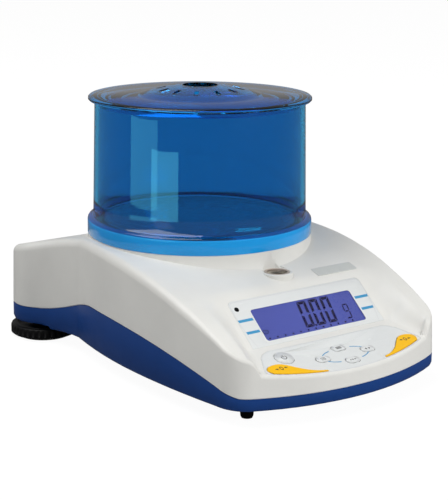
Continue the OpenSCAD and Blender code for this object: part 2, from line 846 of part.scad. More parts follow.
module board_screws() {
    color(steel)
        both_sides()
            for (p = main_screws)
                translate([p[0], p[1], main_z + board_t + 1.2])
                    mirror([0, 0, 1])
                        screw(2, 1.2, panel_screw_r, 4.5);
}

// Feet
module front_feet() {
    color(rubber_black)
        both_sides()
            translate([front_foot_x, front_foot_y, 0])
                union() {
                    cylinder(r1 = front_foot_r - 0.7, r2 = front_foot_r - 0.2, h = 1.2);
                    translate([0, 0, 1.2])
                        cylinder(r1 = front_foot_r - 0.2, r2 = front_foot_r + 0.5, h = base_z - 1.2);
                }
}
module foot_inserts() {
    color(brass)
        at_feet()
            translate([0, 0, lobe_z + foot_boss_h - insert_h])
                ring_solid(insert_r, stud_r + stud_gap, insert_h);
}
wheel_low = 1.5;
pad_foot_r = 17.5;
flutes = 36;
flute_r = 1.1;
module foot_wheel_right() {
    color(rubber_black)
        translate([foot_x, lobe_cy, 0])
            difference() {
                rotate_extrude($fn = 96)
                    polygon([[stud_r + 0.02, wheel_low], [wheel_r - 1.2, wheel_low],
                        [wheel_r, wheel_low + 0.9], [wheel_r, wheel_z - 1.6],
                        [wheel_r - 0.5, wheel_z - 0.5], [wheel_r - 1.6, wheel_z],
                        [wheel_r - 4, wheel_z], [wheel_r - 5, wheel_z - 1.2],
                        [stud_r + 5, wheel_z - 1.2], [stud_r + 4.4, wheel_z],
                        [stud_r + 0.02, wheel_z]]);
                for (k = [0:flutes - 1])
                    rotate([0, 0, 360 * k / flutes])
                        translate([wheel_r + flute_r * 0.55, 0, wheel_low + 1.6])
                            cylinder(r = flute_r, h = wheel_z);
            }
}
module foot_wheel_left() {
    mirror([1, 0, 0])
        foot_wheel_right();
}
stud_top = lobe_z + foot_boss_h - 1;
module foot_stud_right() {
    color(steel)
        translate([foot_x, lobe_cy, wheel_low])
            union() {
                cylinder(r = stud_r, h = stud_top - wheel_low - 0.8);
                translate([0, 0, stud_top - wheel_low - 0.8])
                    cylinder(r1 = stud_r, r2 = stud_r - 0.8, h = 0.8);
            }
}
module foot_stud_left() {
    mirror([1, 0, 0])
        foot_stud_right();
}
module foot_pad_right() {
    color(rubber_black)
        translate([foot_x, lobe_cy, 0])
            rotate_extrude($fn = 96)
                polygon([[0, 0], [pad_foot_r - 0.8, 0], [pad_foot_r, 0.8],
                    [pad_foot_r, wheel_low], [0, wheel_low]]);
}
module foot_pad_left() {
    mirror([1, 0, 0])
        foot_pad_right();
}

// Control panel
indicator_place = [-43.8, display_v(-67.4)];
indicator_r = 1.4;
module display_face() {
    color(panel_white)
        on_display()
            translate([0, 0, -face_t])
                difference() {
                    linear_extrude(height = face_t)
                        display_face_outline(0);
                    translate([0, 0, -1])
                        linear_extrude(height = face_t + 2)
                            window_outline(face_gap);
                    translate([indicator_place[0], indicator_place[1], -1])
                        cylinder(r = indicator_r + 0.1, h = face_t + 2);
                }
}
module display_window() {
    color([0.85, 0.9, 1, 0.35])
        on_display()
            translate([0, 0, -face_t])
                linear_extrude(height = face_t)
                    window_outline(0);
}
module indicator_lens() {
    color([0.25, 0.25, 0.27])
        on_display()
            translate([indicator_place[0], indicator_place[1], -panel_depth])
                union() {
                    cylinder(r = indicator_r, h = panel_depth);
                    translate([0, 0, -0.8])
                        cylinder(r = indicator_r + 0.6, h = 0.8);
                }
}
module keypad_face() {
    color(panel_white)
        on_keypad()
            translate([0, 0, -face_t])
                difference() {
                    linear_extrude(height = face_t)
                        polygon(keypad_line);
                    translate([0, 0, -1])
                        linear_extrude(height = face_t + 2)
                            keypad_openings(key_gap);
                }
}
module key_stem(p) {
    translate([p[0], p[1], stem_bottom])
        cylinder(r = stem_r, h = cap_bottom - stem_bottom + 0.3);
}
module tare_key_left() {
    color(amber)
        on_keypad()
            union() {
                translate([0, 0, cap_bottom])
                    linear_extrude(height = key_top - cap_bottom)
                        polygon(tare_line);
                key_stem(tare_stem);
            }
}
module tare_key_right() {
    mirror([1, 0, 0])
        tare_key_left();
}
module power_key() {
    color(panel_white)
        on_keypad()
            union() {
                translate([power_place[0], power_place[1], cap_bottom])
                    cylinder(r = power_r, h = key_top - cap_bottom);
                key_stem(power_place);
            }
}
module oval_key(k) {
    color(panel_white)
        on_keypad()
            union() {
                translate([oval_place(k)[0], oval_place(k)[1], cap_bottom])
                    linear_extrude(height = key_top - cap_bottom)
                        oval_outline(0);
                key_stem(oval_place(k));
            }
}
module units_key() {
    oval_key(0);
}
module mode_key() {
    oval_key(1);
}
module print_key() {
    oval_key(2);
}
module count_key() {
    oval_key(3);
}

// Behind the panel
module lcd_bezel() {
    color([0.2, 0.2, 0.22])
        on_display()
            translate([0, 0, display_board_v])
                difference() {
                    linear_extrude(height = -panel_depth - 0.1 - display_board_v)
                        window_outline(lcd_margin + bezel_t);
                    translate([0, 0, -1])
                        linear_extrude(height = lcd_t + light_t + 2)
                            window_outline(lcd_margin + 0.1);
                }
}
module lcd_panel() {
    color([0.33, 0.35, 0.7])
        on_display()
            translate([0, 0, lcd_v])
                linear_extrude(height = lcd_t)
                    window_outline(lcd_margin);
}
module lcd_backlight() {
    color([0.85, 0.88, 0.95])
        on_display()
            translate([0, 0, display_board_v])
                linear_extrude(height = light_t)
                    window_outline(lcd_margin);
}
module display_board() {
    color(board_green)
        on_display()
            translate([0, 0, display_board_v - board_t])
                difference() {
                    linear_extrude(height = board_t)
                        square([display_board_w, display_board_h], center = true);
                    both_sides()
                        for (p = display_screws)
                            translate([p[0], p[1], -1])
                                cylinder(r = panel_screw_r + 0.1, h = board_t + 2);
                }
}
keypad_board_in = 3.2;
keypad_board_front = face_front + 1.6;
keypad_board_back = keypad_face_back - keypad_board_in;
keypad_board_side = keypad_corner_y + 4.6;
function keypad_board_edge(y) = keypad_edge(y) - keypad_board_in;
keypad_board_corner = keypad_board_edge(keypad_corner_y) - 1.5;
keypad_board_half = concat(
    [for (x = [9:9:45]) [x, front_arc(x, keypad_board_front)]],
    [[keypad_board_corner, front_arc(keypad_board_corner, keypad_board_front)]],
    [for (y = [keypad_board_side, keypad_board_back]) [keypad_board_edge(y), y]]
);
keypad_board_line = [for (p = concat(
    [[0, front_y + keypad_board_front]], keypad_board_half,
    [for (i = [len(keypad_board_half) - 1:-1:0]) [-keypad_board_half[i][0], keypad_board_half[i][1]]]))
    [p[0], keypad_v(p[1])]];
module keypad_board() {
    color(board_green)
        on_keypad()
            translate([0, 0, keypad_board_v - board_t])
                difference() {
                    linear_extrude(height = board_t)
                        polygon(keypad_board_line);
                    both_sides()
                        for (p = keypad_screws)
                            translate([p[0], p[1], -1])
                                cylinder(r = panel_screw_r + 0.1, h = board_t + 2);
                }
}
module key_switches() {
    color(rubber_black)
        on_keypad()
            for (p = stem_places)
                translate([p[0], p[1], keypad_board_v])
                    union() {
                        translate([-3, -3, 0])
                            cube([6, 6, switch_h - 1]);
                        cylinder(r = 1.7, h = switch_h);
                    }
}

// Electronics in the base
connector_h = 6;
can_r = 3;
can_h = 7;
module main_board() {
    color(board_green)
        translate([0, 0, main_z])
            difference() {
                translate([-main_w / 2, main_front_y, 0])
                    cube([main_w, main_back_y - main_front_y, board_t]);
                both_sides()
                    for (p = main_screws)
                        translate([p[0], p[1], -1])
                            cylinder(r = panel_screw_r + 0.1, h = board_t + 2);
            }
}
module board_parts() {
    color([0.12, 0.12, 0.14])
        translate([0, 0, main_z + board_t]) {
            translate([-12, main_front_y + 20, 0])
                cube([14, 14, 1.6]);
            translate([12, main_front_y + 22, 0])
                cube([10, 6, 1.5]);
            translate([-32, main_front_y + 16, 0])
                cube([connector_h + 2, 20, connector_h]);
            for (k = [0:2])
                translate([16 + 8 * k, main_back_y - 10, 0])
                    cylinder(r = can_r, h = can_h);
            translate([-20, main_back_y - 12, 0])
                cube([16, 5, connector_h]);
        }
}

// Weighing mechanism
module load_cell() {
    mid = (cell_front_y + cell_back_y) / 2;
    reach = cell_l / 2 - cell_end - flex_r - 2;
    color([0.75, 0.76, 0.78])
        difference() {
            translate([-cell_w / 2, cell_front_y, cell_z])
                cube([cell_w, cell_l, cell_h]);
            for (s = [-1, 1], t = [-1, 1])
                translate([-cell_w, mid + s * reach, cell_z + cell_h / 2 + t * (cell_h / 2 - flex_r - 1.6)])
                    rotate([0, 90, 0])
                        cylinder(r = flex_r, h = 2 * cell_w);
            translate([-cell_w, mid - reach, cell_z + cell_h / 2 - 2])
                cube([2 * cell_w, 2 * reach, 4]);
            at_cell_back()
                translate([0, 0, cell_z - 1])
                    cylinder(r = cell_screw_r + 0.05, h = cell_hole_in + 1);
            at_cell_front()
                translate([0, 0, cell_z + cell_h - cell_hole_in])
                    cylinder(r = cell_screw_r + 0.05, h = cell_hole_in + 1);
        }
}
module load_cell_mount() {
    color([0.6, 0.61, 0.63])
        difference() {
            translate([-cell_w / 2 - 2, cell_back_y - cell_end, floor_z + 2])
                cube([cell_w + 4, cell_end + 2, cell_z - floor_z - 2]);
            at_cell_back()
                translate([0, 0, floor_z])
                    cylinder(r = cell_screw_r + 0.05, h = 20);
        }
}
module load_cell_screws() {
    color(steel)
        at_cell_back()
            translate([0, 0, base_z + cell_head_sink])
                screw(cell_head_r, cell_head_h, cell_screw_r,
                    cell_z + cell_screw_in - base_z - cell_head_sink - cell_head_h);
}
module carrier_screws() {
    color(steel)
        at_cell_front()
            translate([0, 0, plate_z + plate_t + cell_head_h])
                mirror([0, 0, 1])
                    screw(cell_head_r, cell_head_h, cell_screw_r, plate_t + spacer_t + cell_screw_in);
}
module overload_stop() {
    color(steel)
        translate([0, cell_front_y + cell_end / 2, base_z + 0.5])
            union() {
                cylinder(r = 2.5, h = cell_z - stop_gap - base_z - 0.5);
                translate([0, 0, floor_z + 3 - base_z - 0.5])
                    cylinder(r = 4.4, h = 2.4, $fn = 6);
            }
}
module pan_carrier() {
    color([0.7, 0.71, 0.73])
        union() {
            difference() {
                union() {
                    translate([-cell_w / 2, cell_front_y, plate_z])
                        cube([cell_w, pan_y + 12 - cell_front_y, plate_t]);
                    translate([-cell_w / 2, cell_front_y, plate_z - spacer_t])
                        cube([cell_w, cell_end, spacer_t + 0.5]);
                }
                at_cell_front()
                    translate([0, 0, plate_z - 3])
                        cylinder(r = cell_screw_r + 0.1, h = 10);
            }
            at_pan()
                translate([0, 0, plate_z + plate_t - 0.5])
                    cylinder(r = hub_r, h = arm_z - plate_z - plate_t + 1);
            at_pan()
                translate([0, 0, arm_z]) {
                    cylinder(r = post_hole_r + 4, h = arm_t);
                    for (a = [45:90:315])
                        rotate([0, 0, a])
                            translate([0, -arm_w / 2, 0])
                                cube([pad_ring, arm_w, arm_t]);
                    for (a = [45:90:315])
                        rotate([0, 0, a])
                            translate([pad_ring, 0, 0])
                                cylinder(r = arm_w / 2, h = arm_t);
                }
        }
}
module carrier_pads() {
    color(rubber_black)
        at_pan()
            for (a = [45:90:315])
                rotate([0, 0, a])
                    translate([pad_ring, 0, arm_z + arm_t])
                        cylinder(r1 = pad_r, r2 = pad_r - 0.6, h = pad_t);
}
module weighing_pan() {
    color(steel)
        at_pan()
            rotate_extrude($fn = 96)
                polygon(concat(
                    [[0, pan_z - pan_t], [pan_r - 3, pan_z - pan_t]],
                    [for (a = [30:30:90]) [pan_r - 3 + (3 - pan_t) * sin(a), pan_z - 3 + (3 - pan_t) * cos(a)]],
                    [[pan_r - pan_t, pan_z - pan_rim_h], [pan_r, pan_z - pan_rim_h]],
                    [for (a = [90:-15:0]) [pan_r - 3 + 3 * sin(a), pan_z - 3 + 3 * cos(a)]],
                    [[0, pan_z]]));
}

// Draft shield
skirt_in = rim_r + 0.35;
shelf_z = plinth_z + skirt_h;
skirt_roof_z = plinth_z + rim_h + 0.6;
shield_top_r = shield_r - shield_taper;
module draft_shield() {
    color(tint)
        at_pan()
            rotate_extrude($fn = 96)
                polygon(concat(
                    [[skirt_in, plinth_z], [skirt_r - 0.3, plinth_z], [skirt_r, plinth_z + 0.3],
                        [skirt_r, shelf_z - 2.6]],
                    [for (a = [0:22.5:90]) [skirt_r - 2.4 + 2.4 * cos(a), shelf_z - 2.4 + 2.4 * sin(a)]],
                    [[shield_r, shelf_z], [shield_top_r, shield_top_z],
                        [shield_top_r - shield_t, shield_top_z], [shield_r - shield_t, skirt_roof_z],
                        [skirt_in, skirt_roof_z]]));
}
spigot_h = 3;
dome_curve = (dome_r * dome_r + dome_h * dome_h) / (2 * dome_h);
slot_ring = 23.5;
slot_l = 5.6;
slot_w = 2.6;
slots = 12;
slot_turn = -11;
lid_top_z = shield_top_z + lid_t;
function dome_z(r) = lid_top_z + dome_h - dome_curve + sqrt(dome_curve * dome_curve - r * r);
module shield_lid() {
    spigot_r = shield_top_r - shield_t - 0.4;
    under_r = dome_r - 2;
    color(tint)
        at_pan()
            difference() {
                rotate_extrude($fn = 96)
                    polygon(concat(
                        [[under_r, shield_top_z], [spigot_r - 1.8, shield_top_z],
                            [spigot_r - 1.8, shield_top_z - spigot_h], [spigot_r, shield_top_z - spigot_h],
                            [spigot_r, shield_top_z], [lid_r - 0.6, shield_top_z],
                            [lid_r, shield_top_z + 0.6], [lid_r, lid_top_z - 0.8],
                            [lid_r - 0.8, lid_top_z], [dome_r + 1, lid_top_z]],
                        [for (r = [dome_r - 1, dome_r * 0.85, dome_r * 0.7, dome_r * 0.55, dome_r * 0.42, port_r])
                            [r, dome_z(r)]],
                        [for (r = [port_r, dome_r * 0.42, dome_r * 0.55, dome_r * 0.7, dome_r * 0.85])
                            [r, dome_z(r) - lid_t]]));
                for (k = [0:slots - 1])
                    rotate([0, 0, slot_turn - 90 + 360 * k / slots])
                        translate([slot_ring - slot_l / 2, -slot_w / 2, lid_top_z - 4])
                            cube([slot_l, slot_w, 16]);
            }
}

// Battery
module battery_pack() {
    color([0.15, 0.3, 0.55])
        battery_block(0, base_z + door_t + 0.2, bay_top - battery_gap);
}
module battery_door() {
    color(blue_abs)
        difference() {
            union() {
                translate([battery_x - door_w / 2, battery_y - battery_l / 2 + door_gap, base_z])
                    cube([door_w, battery_l - 2 * door_gap - door_t / 2, door_t]);
                translate([battery_x, battery_y + battery_l / 2 - door_gap - door_t / 2, base_z + door_t / 2])
                    rotate([0, 90, 0])
                        cylinder(r = door_t / 2, h = door_w, center = true);
            }
            translate([battery_x, battery_y - battery_l / 2 + 6, base_z - 3.2])
                rotate([0, 90, 0])
                    cylinder(r = 4, h = 16, center = true);
        }
}

// Level
module level_cup() {
    color([0.55, 0.45, 0.4])
        translate([0, level_y, level_z - level_depth])
            difference() {
                cylinder(r = level_cup_r, h = level_depth);
                translate([0, 0, 1])
                    cylinder(r = level_vial_r + 0.1, h = level_depth);
            }
}
module level_vial() {
    color([0.85, 0.8, 0.65, 0.6])
        translate([0, level_y, level_z - level_depth + 1])
            cylinder(r = level_vial_r, h = level_depth - 1.3);
}

// Back panel
module interface_board() {
    color(board_green)
        translate([inlet_x - 8, port_board_y - board_t, port_z - 9])
            cube([usb_x - inlet_x + 18, board_t, 18]);
}
module power_inlet() {
    depth = port_face_y - port_board_y;
    color(rubber_black)
        translate([inlet_x, port_board_y, port_z])
            difference() {
                translate([-inlet_w / 2, 0, -inlet_w / 2])
                    cube([inlet_w, depth, inlet_w]);
                difference() {
                    translate([0, depth + 1, 0])
                        rotate([90, 0, 0])
                            cylinder(r = 3.2, h = 10);
                    translate([0, depth, 0])
                        rotate([90, 0, 0])
                            cylinder(r = 1, h = 10);
                }
            }
}
module d_outline(w, h, d) {
    polygon([[-w / 2 - d, h / 2 + d], [w / 2 + d, h / 2 + d],
        [w / 2 - 1.6 + d, -h / 2 - d], [-w / 2 + 1.6 - d, -h / 2 - d]]);
}
module serial_port() {
    depth = port_face_y - port_board_y;
    color(steel)
        translate([serial_x, port_board_y, port_z])
            rotate([-90, 0, 0])
                difference() {
                    union() {
                        translate([-serial_w / 2, -serial_h / 2, depth - 3])
                            cube([serial_w, serial_h, 1]);
                        translate([-9.5, -5, 0])
                            cube([19, 10, depth - 2.5]);
                        translate([0, 0, depth - 3])
                            linear_extrude(height = 5.2)
                                d_outline(17, 8.4, 0);
                    }
                    translate([0, 0, depth + 1.8])
                        linear_extrude(height = 1)
                            d_outline(17, 8.4, -0.5);
                    for (s = [-1, 1])
                        translate([s * 12.5, 0, 0])
                            cylinder(r = 1.5, h = depth + 1);
                }
}
module serial_posts() {
    depth = port_face_y - port_board_y;
    color(steel)
        for (s = [-1, 1])
            translate([serial_x + s * 12.5, port_board_y, port_z])
                rotate([-90, 0, 0])
                    union() {
                        cylinder(r = 1.45, h = depth);
                        translate([0, 0, depth - 2])
                            cylinder(r = 2.6, h = 4, $fn = 6);
                    }
}
module usb_port() {
    depth = port_face_y - port_board_y;
    color(steel)
        translate([usb_x, port_board_y, port_z])
            difference() {
                translate([-usb_w / 2, 0, -usb_h / 2])
                    cube([usb_w, depth, usb_h]);
                difference() {
                    translate([-usb_w / 2 + 1.9, depth - 9, -usb_h / 2 + 1.6])
                        cube([usb_w - 3.8, 10, usb_h - 3.2]);
                    translate([-2.8, depth - 10, -1.6])
                        cube([5.6, 9, 3.2]);
                }
            }
}

upper_housing();
lower_housing();
housing_screws();
front_feet();
foot_inserts();
display_face();
keypad_face();
display_window();
indicator_lens();
lcd_bezel();
lcd_panel();
lcd_backlight();
display_board();
keypad_board();
key_switches();
panel_screws();
main_board();
board_parts();
board_screws();
load_cell();
load_cell_mount();
load_cell_screws();
overload_stop();
battery_pack();
battery_door();
level_cup();
level_vial();
interface_board();
power_inlet();
serial_port();
serial_posts();
usb_port();
pan_carrier();
carrier_screws();
carrier_pads();
weighing_pan();
draft_shield();
shield_lid();
tare_key_left();
tare_key_right();
power_key();
mode_key();
units_key();
print_key();
count_key();
foot_wheel_left();
foot_wheel_right();
foot_stud_left();
foot_stud_right();
foot_pad_left();
foot_pad_right();
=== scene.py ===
import json
import math

import bmesh
import bpy
from mathutils import Matrix, Vector


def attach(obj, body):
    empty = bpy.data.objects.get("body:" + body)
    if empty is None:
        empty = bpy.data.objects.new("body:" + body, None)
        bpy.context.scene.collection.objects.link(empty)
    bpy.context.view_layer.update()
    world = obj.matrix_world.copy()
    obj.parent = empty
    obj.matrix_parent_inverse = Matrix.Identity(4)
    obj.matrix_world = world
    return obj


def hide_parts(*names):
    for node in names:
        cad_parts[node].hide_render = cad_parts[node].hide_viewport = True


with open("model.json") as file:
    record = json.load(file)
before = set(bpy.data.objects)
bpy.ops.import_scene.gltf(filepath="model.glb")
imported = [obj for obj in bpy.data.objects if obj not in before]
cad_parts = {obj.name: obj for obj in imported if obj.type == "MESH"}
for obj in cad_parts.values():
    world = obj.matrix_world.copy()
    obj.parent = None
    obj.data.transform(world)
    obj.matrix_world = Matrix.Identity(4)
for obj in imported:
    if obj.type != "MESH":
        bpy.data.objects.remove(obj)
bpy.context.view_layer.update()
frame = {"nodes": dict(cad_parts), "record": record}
nodes = frame["nodes"]
bodies_of = {n: b for b, ns in frame["record"]["behaviour"]["bodies"].items() for n in ns}
slot_of = {part["node"]: part["material_slot"] for part in frame["record"]["subparts"]}
scene = bpy.context.scene
MM = 0.001

# Housing outline in millimetres, as in the solid part
BODY_L, SIDE_W, FRONT_W, NECK_W = 245, 80, 75, 72
BULGE_Y, FRONT_R, CORNER_R, LOBE_R, BLEND_R = -20, 153.2, 19, 19.4, 62
FOOT_X, WHEEL_R = 68, 21.2
CROWN_Z, CROWN_Y, FRONT_FALL, FRONT_RUN, FRONT_POWER = 72, 38, 34.6, 142, 2.4
REAR_FALL, REAR_POWER = 17.2, 1.5
SEAM_FRONT_Z, SEAM_SIDE_Z, SEAM_REAR_Z = 16.2, 34.6, 21.9
SEAM_TOP_Y, SEAM_FALL_Y, SEAM_REAR_Y, SEAM_POWER = 15, 30, 88, 2.05
EDGE_R, FRONT_EDGE_R, EDGE_RUN, WALL_LEAN, WALL_T, LIP = 5, 2.6, 40, 0.8, 2.4, 0.5
# Control panel
DISP_TILT, DISP_Y, DISP_Z = 40.1, -76.95, 43.45
KEY_TILT, KEY_Y, KEY_Z = 16, -108.7, 28.5
FLOOR_W, FLOOR_FRONT_W, SHOULDER_W = 50, 59, 65.5
WINDOW_W, WINDOW_H, FACE_T, FACE_GAP = 72.6, 21.6, 1, 0.1
CREASE_ROUND, LEAST_SHOULDER, HOLLOW_TO_Y = 2.4, 0.8, CROWN_Y - 60
# Weighing
PAN_Y, PLINTH_R, PLINTH_Z, RIM_R, RIM_H = 27.8, 68, 72.6, 65.3, 6.4
SKIRT_TOP = 82.8
POST_HOLE_R, COLLAR_R, COLLAR_H = 8.4, 10.6, 1.9
LEVEL_Y, LEVEL_BOSS_R, LEVEL_HOLE_R, LEVEL_DEPTH, LEVEL_RISE = -47.8, 9.4, 7.4, 7, 0.5

FRONT_Y = -BODY_L / 2
FRONT_CY = FRONT_Y + FRONT_R
CORNER_X = FRONT_W - CORNER_R
CORNER_CY = FRONT_CY - math.sqrt((FRONT_R - CORNER_R) ** 2 - CORNER_X ** 2)
CORNER_FROM = math.asin(CORNER_X / (FRONT_R - CORNER_R))
LOBE_CY = BODY_L / 2 - WHEEL_R
REAR_Y = LOBE_CY + LOBE_R
BLEND_X = NECK_W + BLEND_R
NECK_Y = LOBE_CY - math.sqrt((LOBE_R + BLEND_R) ** 2 - (BLEND_X - FOOT_X) ** 2)
BLEND_TO = math.atan2(LOBE_CY - NECK_Y, FOOT_X - BLEND_X)
CORNER_TO = math.pi / 2 - math.atan(2 * (SIDE_W - FRONT_W) / (BULGE_Y - CORNER_CY))
PANEL_BACK_Y, PANEL_FRONT_Y = KEY_Y + 16.7, KEY_Y + 0.7
SEAM_LOW_Y, EDGE_FROM_Y = CORNER_CY - 12.7, CORNER_CY - 10


# Shape rules of the housing
def tan_deg(a):
    return math.tan(math.radians(a))


def side_x(y):
    if y < BULGE_Y:
        return SIDE_W - (SIDE_W - FRONT_W) * ((BULGE_Y - y) / (BULGE_Y - CORNER_CY)) ** 2
    return SIDE_W - (SIDE_W - NECK_W) * ((y - BULGE_Y) / (NECK_Y - BULGE_Y)) ** 2


def half_width(y):
    if y < CORNER_CY:
        return CORNER_X + math.sqrt(max(0, CORNER_R ** 2 - (CORNER_CY - y) ** 2))
    return side_x(y)


def crown(y):
    if y < CROWN_Y:
        return CROWN_Z - FRONT_FALL * ((CROWN_Y - y) / FRONT_RUN) ** FRONT_POWER
    return CROWN_Z - REAR_FALL * ((y - CROWN_Y) / (REAR_Y - CROWN_Y)) ** REAR_POWER


def hollow_floor(y):
    return max(DISP_Z + (y - DISP_Y) * tan_deg(DISP_TILT), KEY_Z + (y - KEY_Y) * tan_deg(KEY_TILT))


def soft_min(a, b, k):
    return min(a, b) - max(k - abs(a - b), 0) ** 2 / (4 * k)


def s_curve(t):
    u = min(max(t, 0), 1)
    return u * u * (3 - 2 * u)


def floor_x(y):
    share = min(max((PANEL_BACK_Y - y) / (PANEL_BACK_Y - PANEL_FRONT_Y), 0), 1)
    return FLOOR_W + (FLOOR_FRONT_W - FLOOR_W) * share


def shoulder_x(y):
    return max(min(SHOULDER_W, half_width(y) - EDGE_R), floor_x(y) + LEAST_SHOULDER)


def top_z(x, y):
    crest = crown(y)
    low = soft_min(crest, hollow_floor(y), CREASE_ROUND)
    rise = 1
    if y < HOLLOW_TO_Y:
        rise = s_curve((abs(x) - floor_x(y)) / (shoulder_x(y) - floor_x(y)))
    return low + (crest - low) * rise


def seam(y):
    if y < SEAM_LOW_Y:
        return SEAM_FRONT_Z
    if y < SEAM_TOP_Y:
        share = (SEAM_TOP_Y - y) / (SEAM_TOP_Y - SEAM_LOW_Y)
        return SEAM_SIDE_Z - (SEAM_SIDE_Z - SEAM_FRONT_Z) * share ** SEAM_POWER
    rise = s_curve((SEAM_REAR_Y - y) / (SEAM_REAR_Y - SEAM_FALL_Y))
    return SEAM_REAR_Z + (SEAM_SIDE_Z - SEAM_REAR_Z) * rise


def edge_at(y):
    return FRONT_EDGE_R + (EDGE_R - FRONT_EDGE_R) * s_curve((y - EDGE_FROM_Y) / EDGE_RUN)


LEVEL_Z = crown(LEVEL_Y) + LEVEL_RISE


# Meshes
SMOOTH_ANGLE, SHELL_ANGLE = 35, 40
MERGE_WITHIN = 1e-7


def raw_mesh(name, shape):
    """A mesh from a shape: its points in millimetres and its faces."""
    mesh = bpy.data.meshes.new(name)
    mesh.from_pydata([[c * MM for c in p] for p in shape[0]], [], shape[1])
    return mesh


def clean(mesh, merge=False, outward=True):
    """Merges points that coincide and turns the faces outwards."""
    work = bmesh.new()
    work.from_mesh(mesh)
    if merge:
        bmesh.ops.remove_doubles(work, verts=work.verts, dist=MERGE_WITHIN)
    if outward:
        bmesh.ops.recalc_face_normals(work, faces=work.faces)
    work.to_mesh(mesh)
    work.free()
    return mesh


def shade(mesh, angle):
    """Smooth shading, with the edges that turn by more than the angle kept sharp."""
    mesh.shade_smooth()
    mesh.set_sharp_from_angle(angle=math.radians(angle))


def in_scene(name, data):
    made = bpy.data.objects.new(name, data)
    scene.collection.objects.link(made)
    return made


def evaluated(made):
    """The mesh of an object with its modifiers applied."""
    bpy.context.view_layer.update()
    graph = bpy.context.evaluated_depsgraph_get()
    return bpy.data.meshes.new_from_object(made.evaluated_get(graph))


def finish_piece(name, mesh, body, finish, smooth=SMOOTH_ANGLE, outward=True):
    """A piece of the scene from a mesh, on its body and with its material."""
    shade(clean(mesh, True, outward), smooth)
    piece = in_scene(name, mesh)
    mesh.materials.clear()
    mesh.materials.append(finish)
    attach(piece, body)
    return piece


def new_piece(name, shape, body, finish, smooth=SMOOTH_ANGLE):
    return finish_piece(name, raw_mesh(name, shape), body, finish, smooth)


def dress(node, finish):
    """A smooth-shaded copy of a solid of the part, which then stands for it."""
    piece = finish_piece(node + ".shaded", nodes[node].data.copy(), bodies_of[node], finish,
                         outward=False)
    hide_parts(node)
    return piece


def lathe_rows(profile, steps, centre):
    """Points and faces of a closed profile, given as radius and height, turned round a centre."""
    points, faces, n = [], [], len(profile)
    for s in range(steps):
        a = 2 * math.pi * s / steps
        points += [(centre[0] + r * math.cos(a), centre[1] + r * math.sin(a), z) for r, z in profile]
    for s in range(steps):
        t = (s + 1) % steps
        faces += [(s * n + k, t * n + k, t * n + (k + 1) % n, s * n + (k + 1) % n) for k in range(n)]
    return points, faces


def arc(cx, cy, r, a0, a1, steps):
    return [(cx + r * math.cos(math.radians(a0 + (a1 - a0) * i / steps)),
             cy + r * math.sin(math.radians(a0 + (a1 - a0) * i / steps))) for i in range(steps + 1)]


def prism(outline, z0, z1, place=lambda u, v, w: (u, v, w)):
    """Points and faces of an outline raised from z0 to z1 in the plane that place gives."""
    n = len(outline)
    points = [place(u, v, z0) for u, v in outline] + [place(u, v, z1) for u, v in outline]
    faces = [tuple(range(n - 1, -1, -1)), tuple(range(n, 2 * n))]
    faces += [(k, (k + 1) % n, n + (k + 1) % n, n + k) for k in range(n)]
    return points, faces


def joined(*parts):
    """Several sets of points and faces as one."""
    points, faces = [], []
    for p, f in parts:
        o = len(points)
        points += p
        faces += [tuple(i + o for i in face) for face in f]
    return points, faces


def on_slope(tilt, y0, z0):
    s, c = math.sin(math.radians(tilt)), math.cos(math.radians(tilt))
    return lambda u, v, w: (u, y0 + v * c - w * s, z0 + v * s + w * c)


on_display = on_slope(DISP_TILT, DISP_Y, DISP_Z)
on_keypad = on_slope(KEY_TILT, KEY_Y, KEY_Z)


def display_v(y):
    return (y - DISP_Y) / math.cos(math.radians(DISP_TILT))


def keypad_v(y):
    return (y - KEY_Y) / math.cos(math.radians(KEY_TILT))


def box_outline(w, h, r=0, cx=0, cy=0, steps=6):
    """Outline of a rectangle, its corners rounded by r."""
    if not r:
        return [(cx + sx * w / 2, cy + sy * h / 2) for sx, sy in ((-1, -1), (1, -1), (1, 1), (-1, 1))]
    line = []
    for sx, sy, a in ((1, 1, 0), (-1, 1, 90), (-1, -1, 180), (1, -1, 270)):
        line += arc(cx + sx * (w / 2 - r), cy + sy * (h / 2 - r), r, a, a + 90, steps)
    return line


def offset(outline, d):
    """The outline moved outwards by d, or by a distance for each point; it runs anticlockwise."""
    n, moved = len(outline), []
    by = d if isinstance(d, list) else [d] * n
    for i in range(n):
        a, b = Vector(outline[i - 1]), Vector(outline[(i + 1) % n])
        t = (b - a).normalized()
        moved.append((outline[i][0] + by[i] * t.y, outline[i][1] - by[i] * t.x))
    return moved


def band(line, width):
    """Outline of a strip of a given width along an open line."""
    left, right = [], []
    for i, p in enumerate(line):
        a, b = Vector(line[max(i - 1, 0)]), Vector(line[min(i + 1, len(line) - 1)])
        t = (b - a).normalized() * (width / 2)
        left.append((p[0] - t.y, p[1] + t.x))
        right.append((p[0] + t.y, p[1] - t.x))
    return right + left[::-1]


def ring_prism(outer, inner, z0, z1, place):
    """Points and faces of the strip between two closed outlines."""
    n = len(outer)
    points = [place(u, v, z) for line in (outer, inner) for z in (z0, z1) for u, v in line]
    faces = []
    for k in range(n):
        m = (k + 1) % n
        faces += [(k, m, n + m, n + k), (2 * n + m, 2 * n + k, 3 * n + k, 3 * n + m),
                  (n + k, n + m, 3 * n + m, 3 * n + k), (m, k, 2 * n + k, 2 * n + m)]
    return points, faces


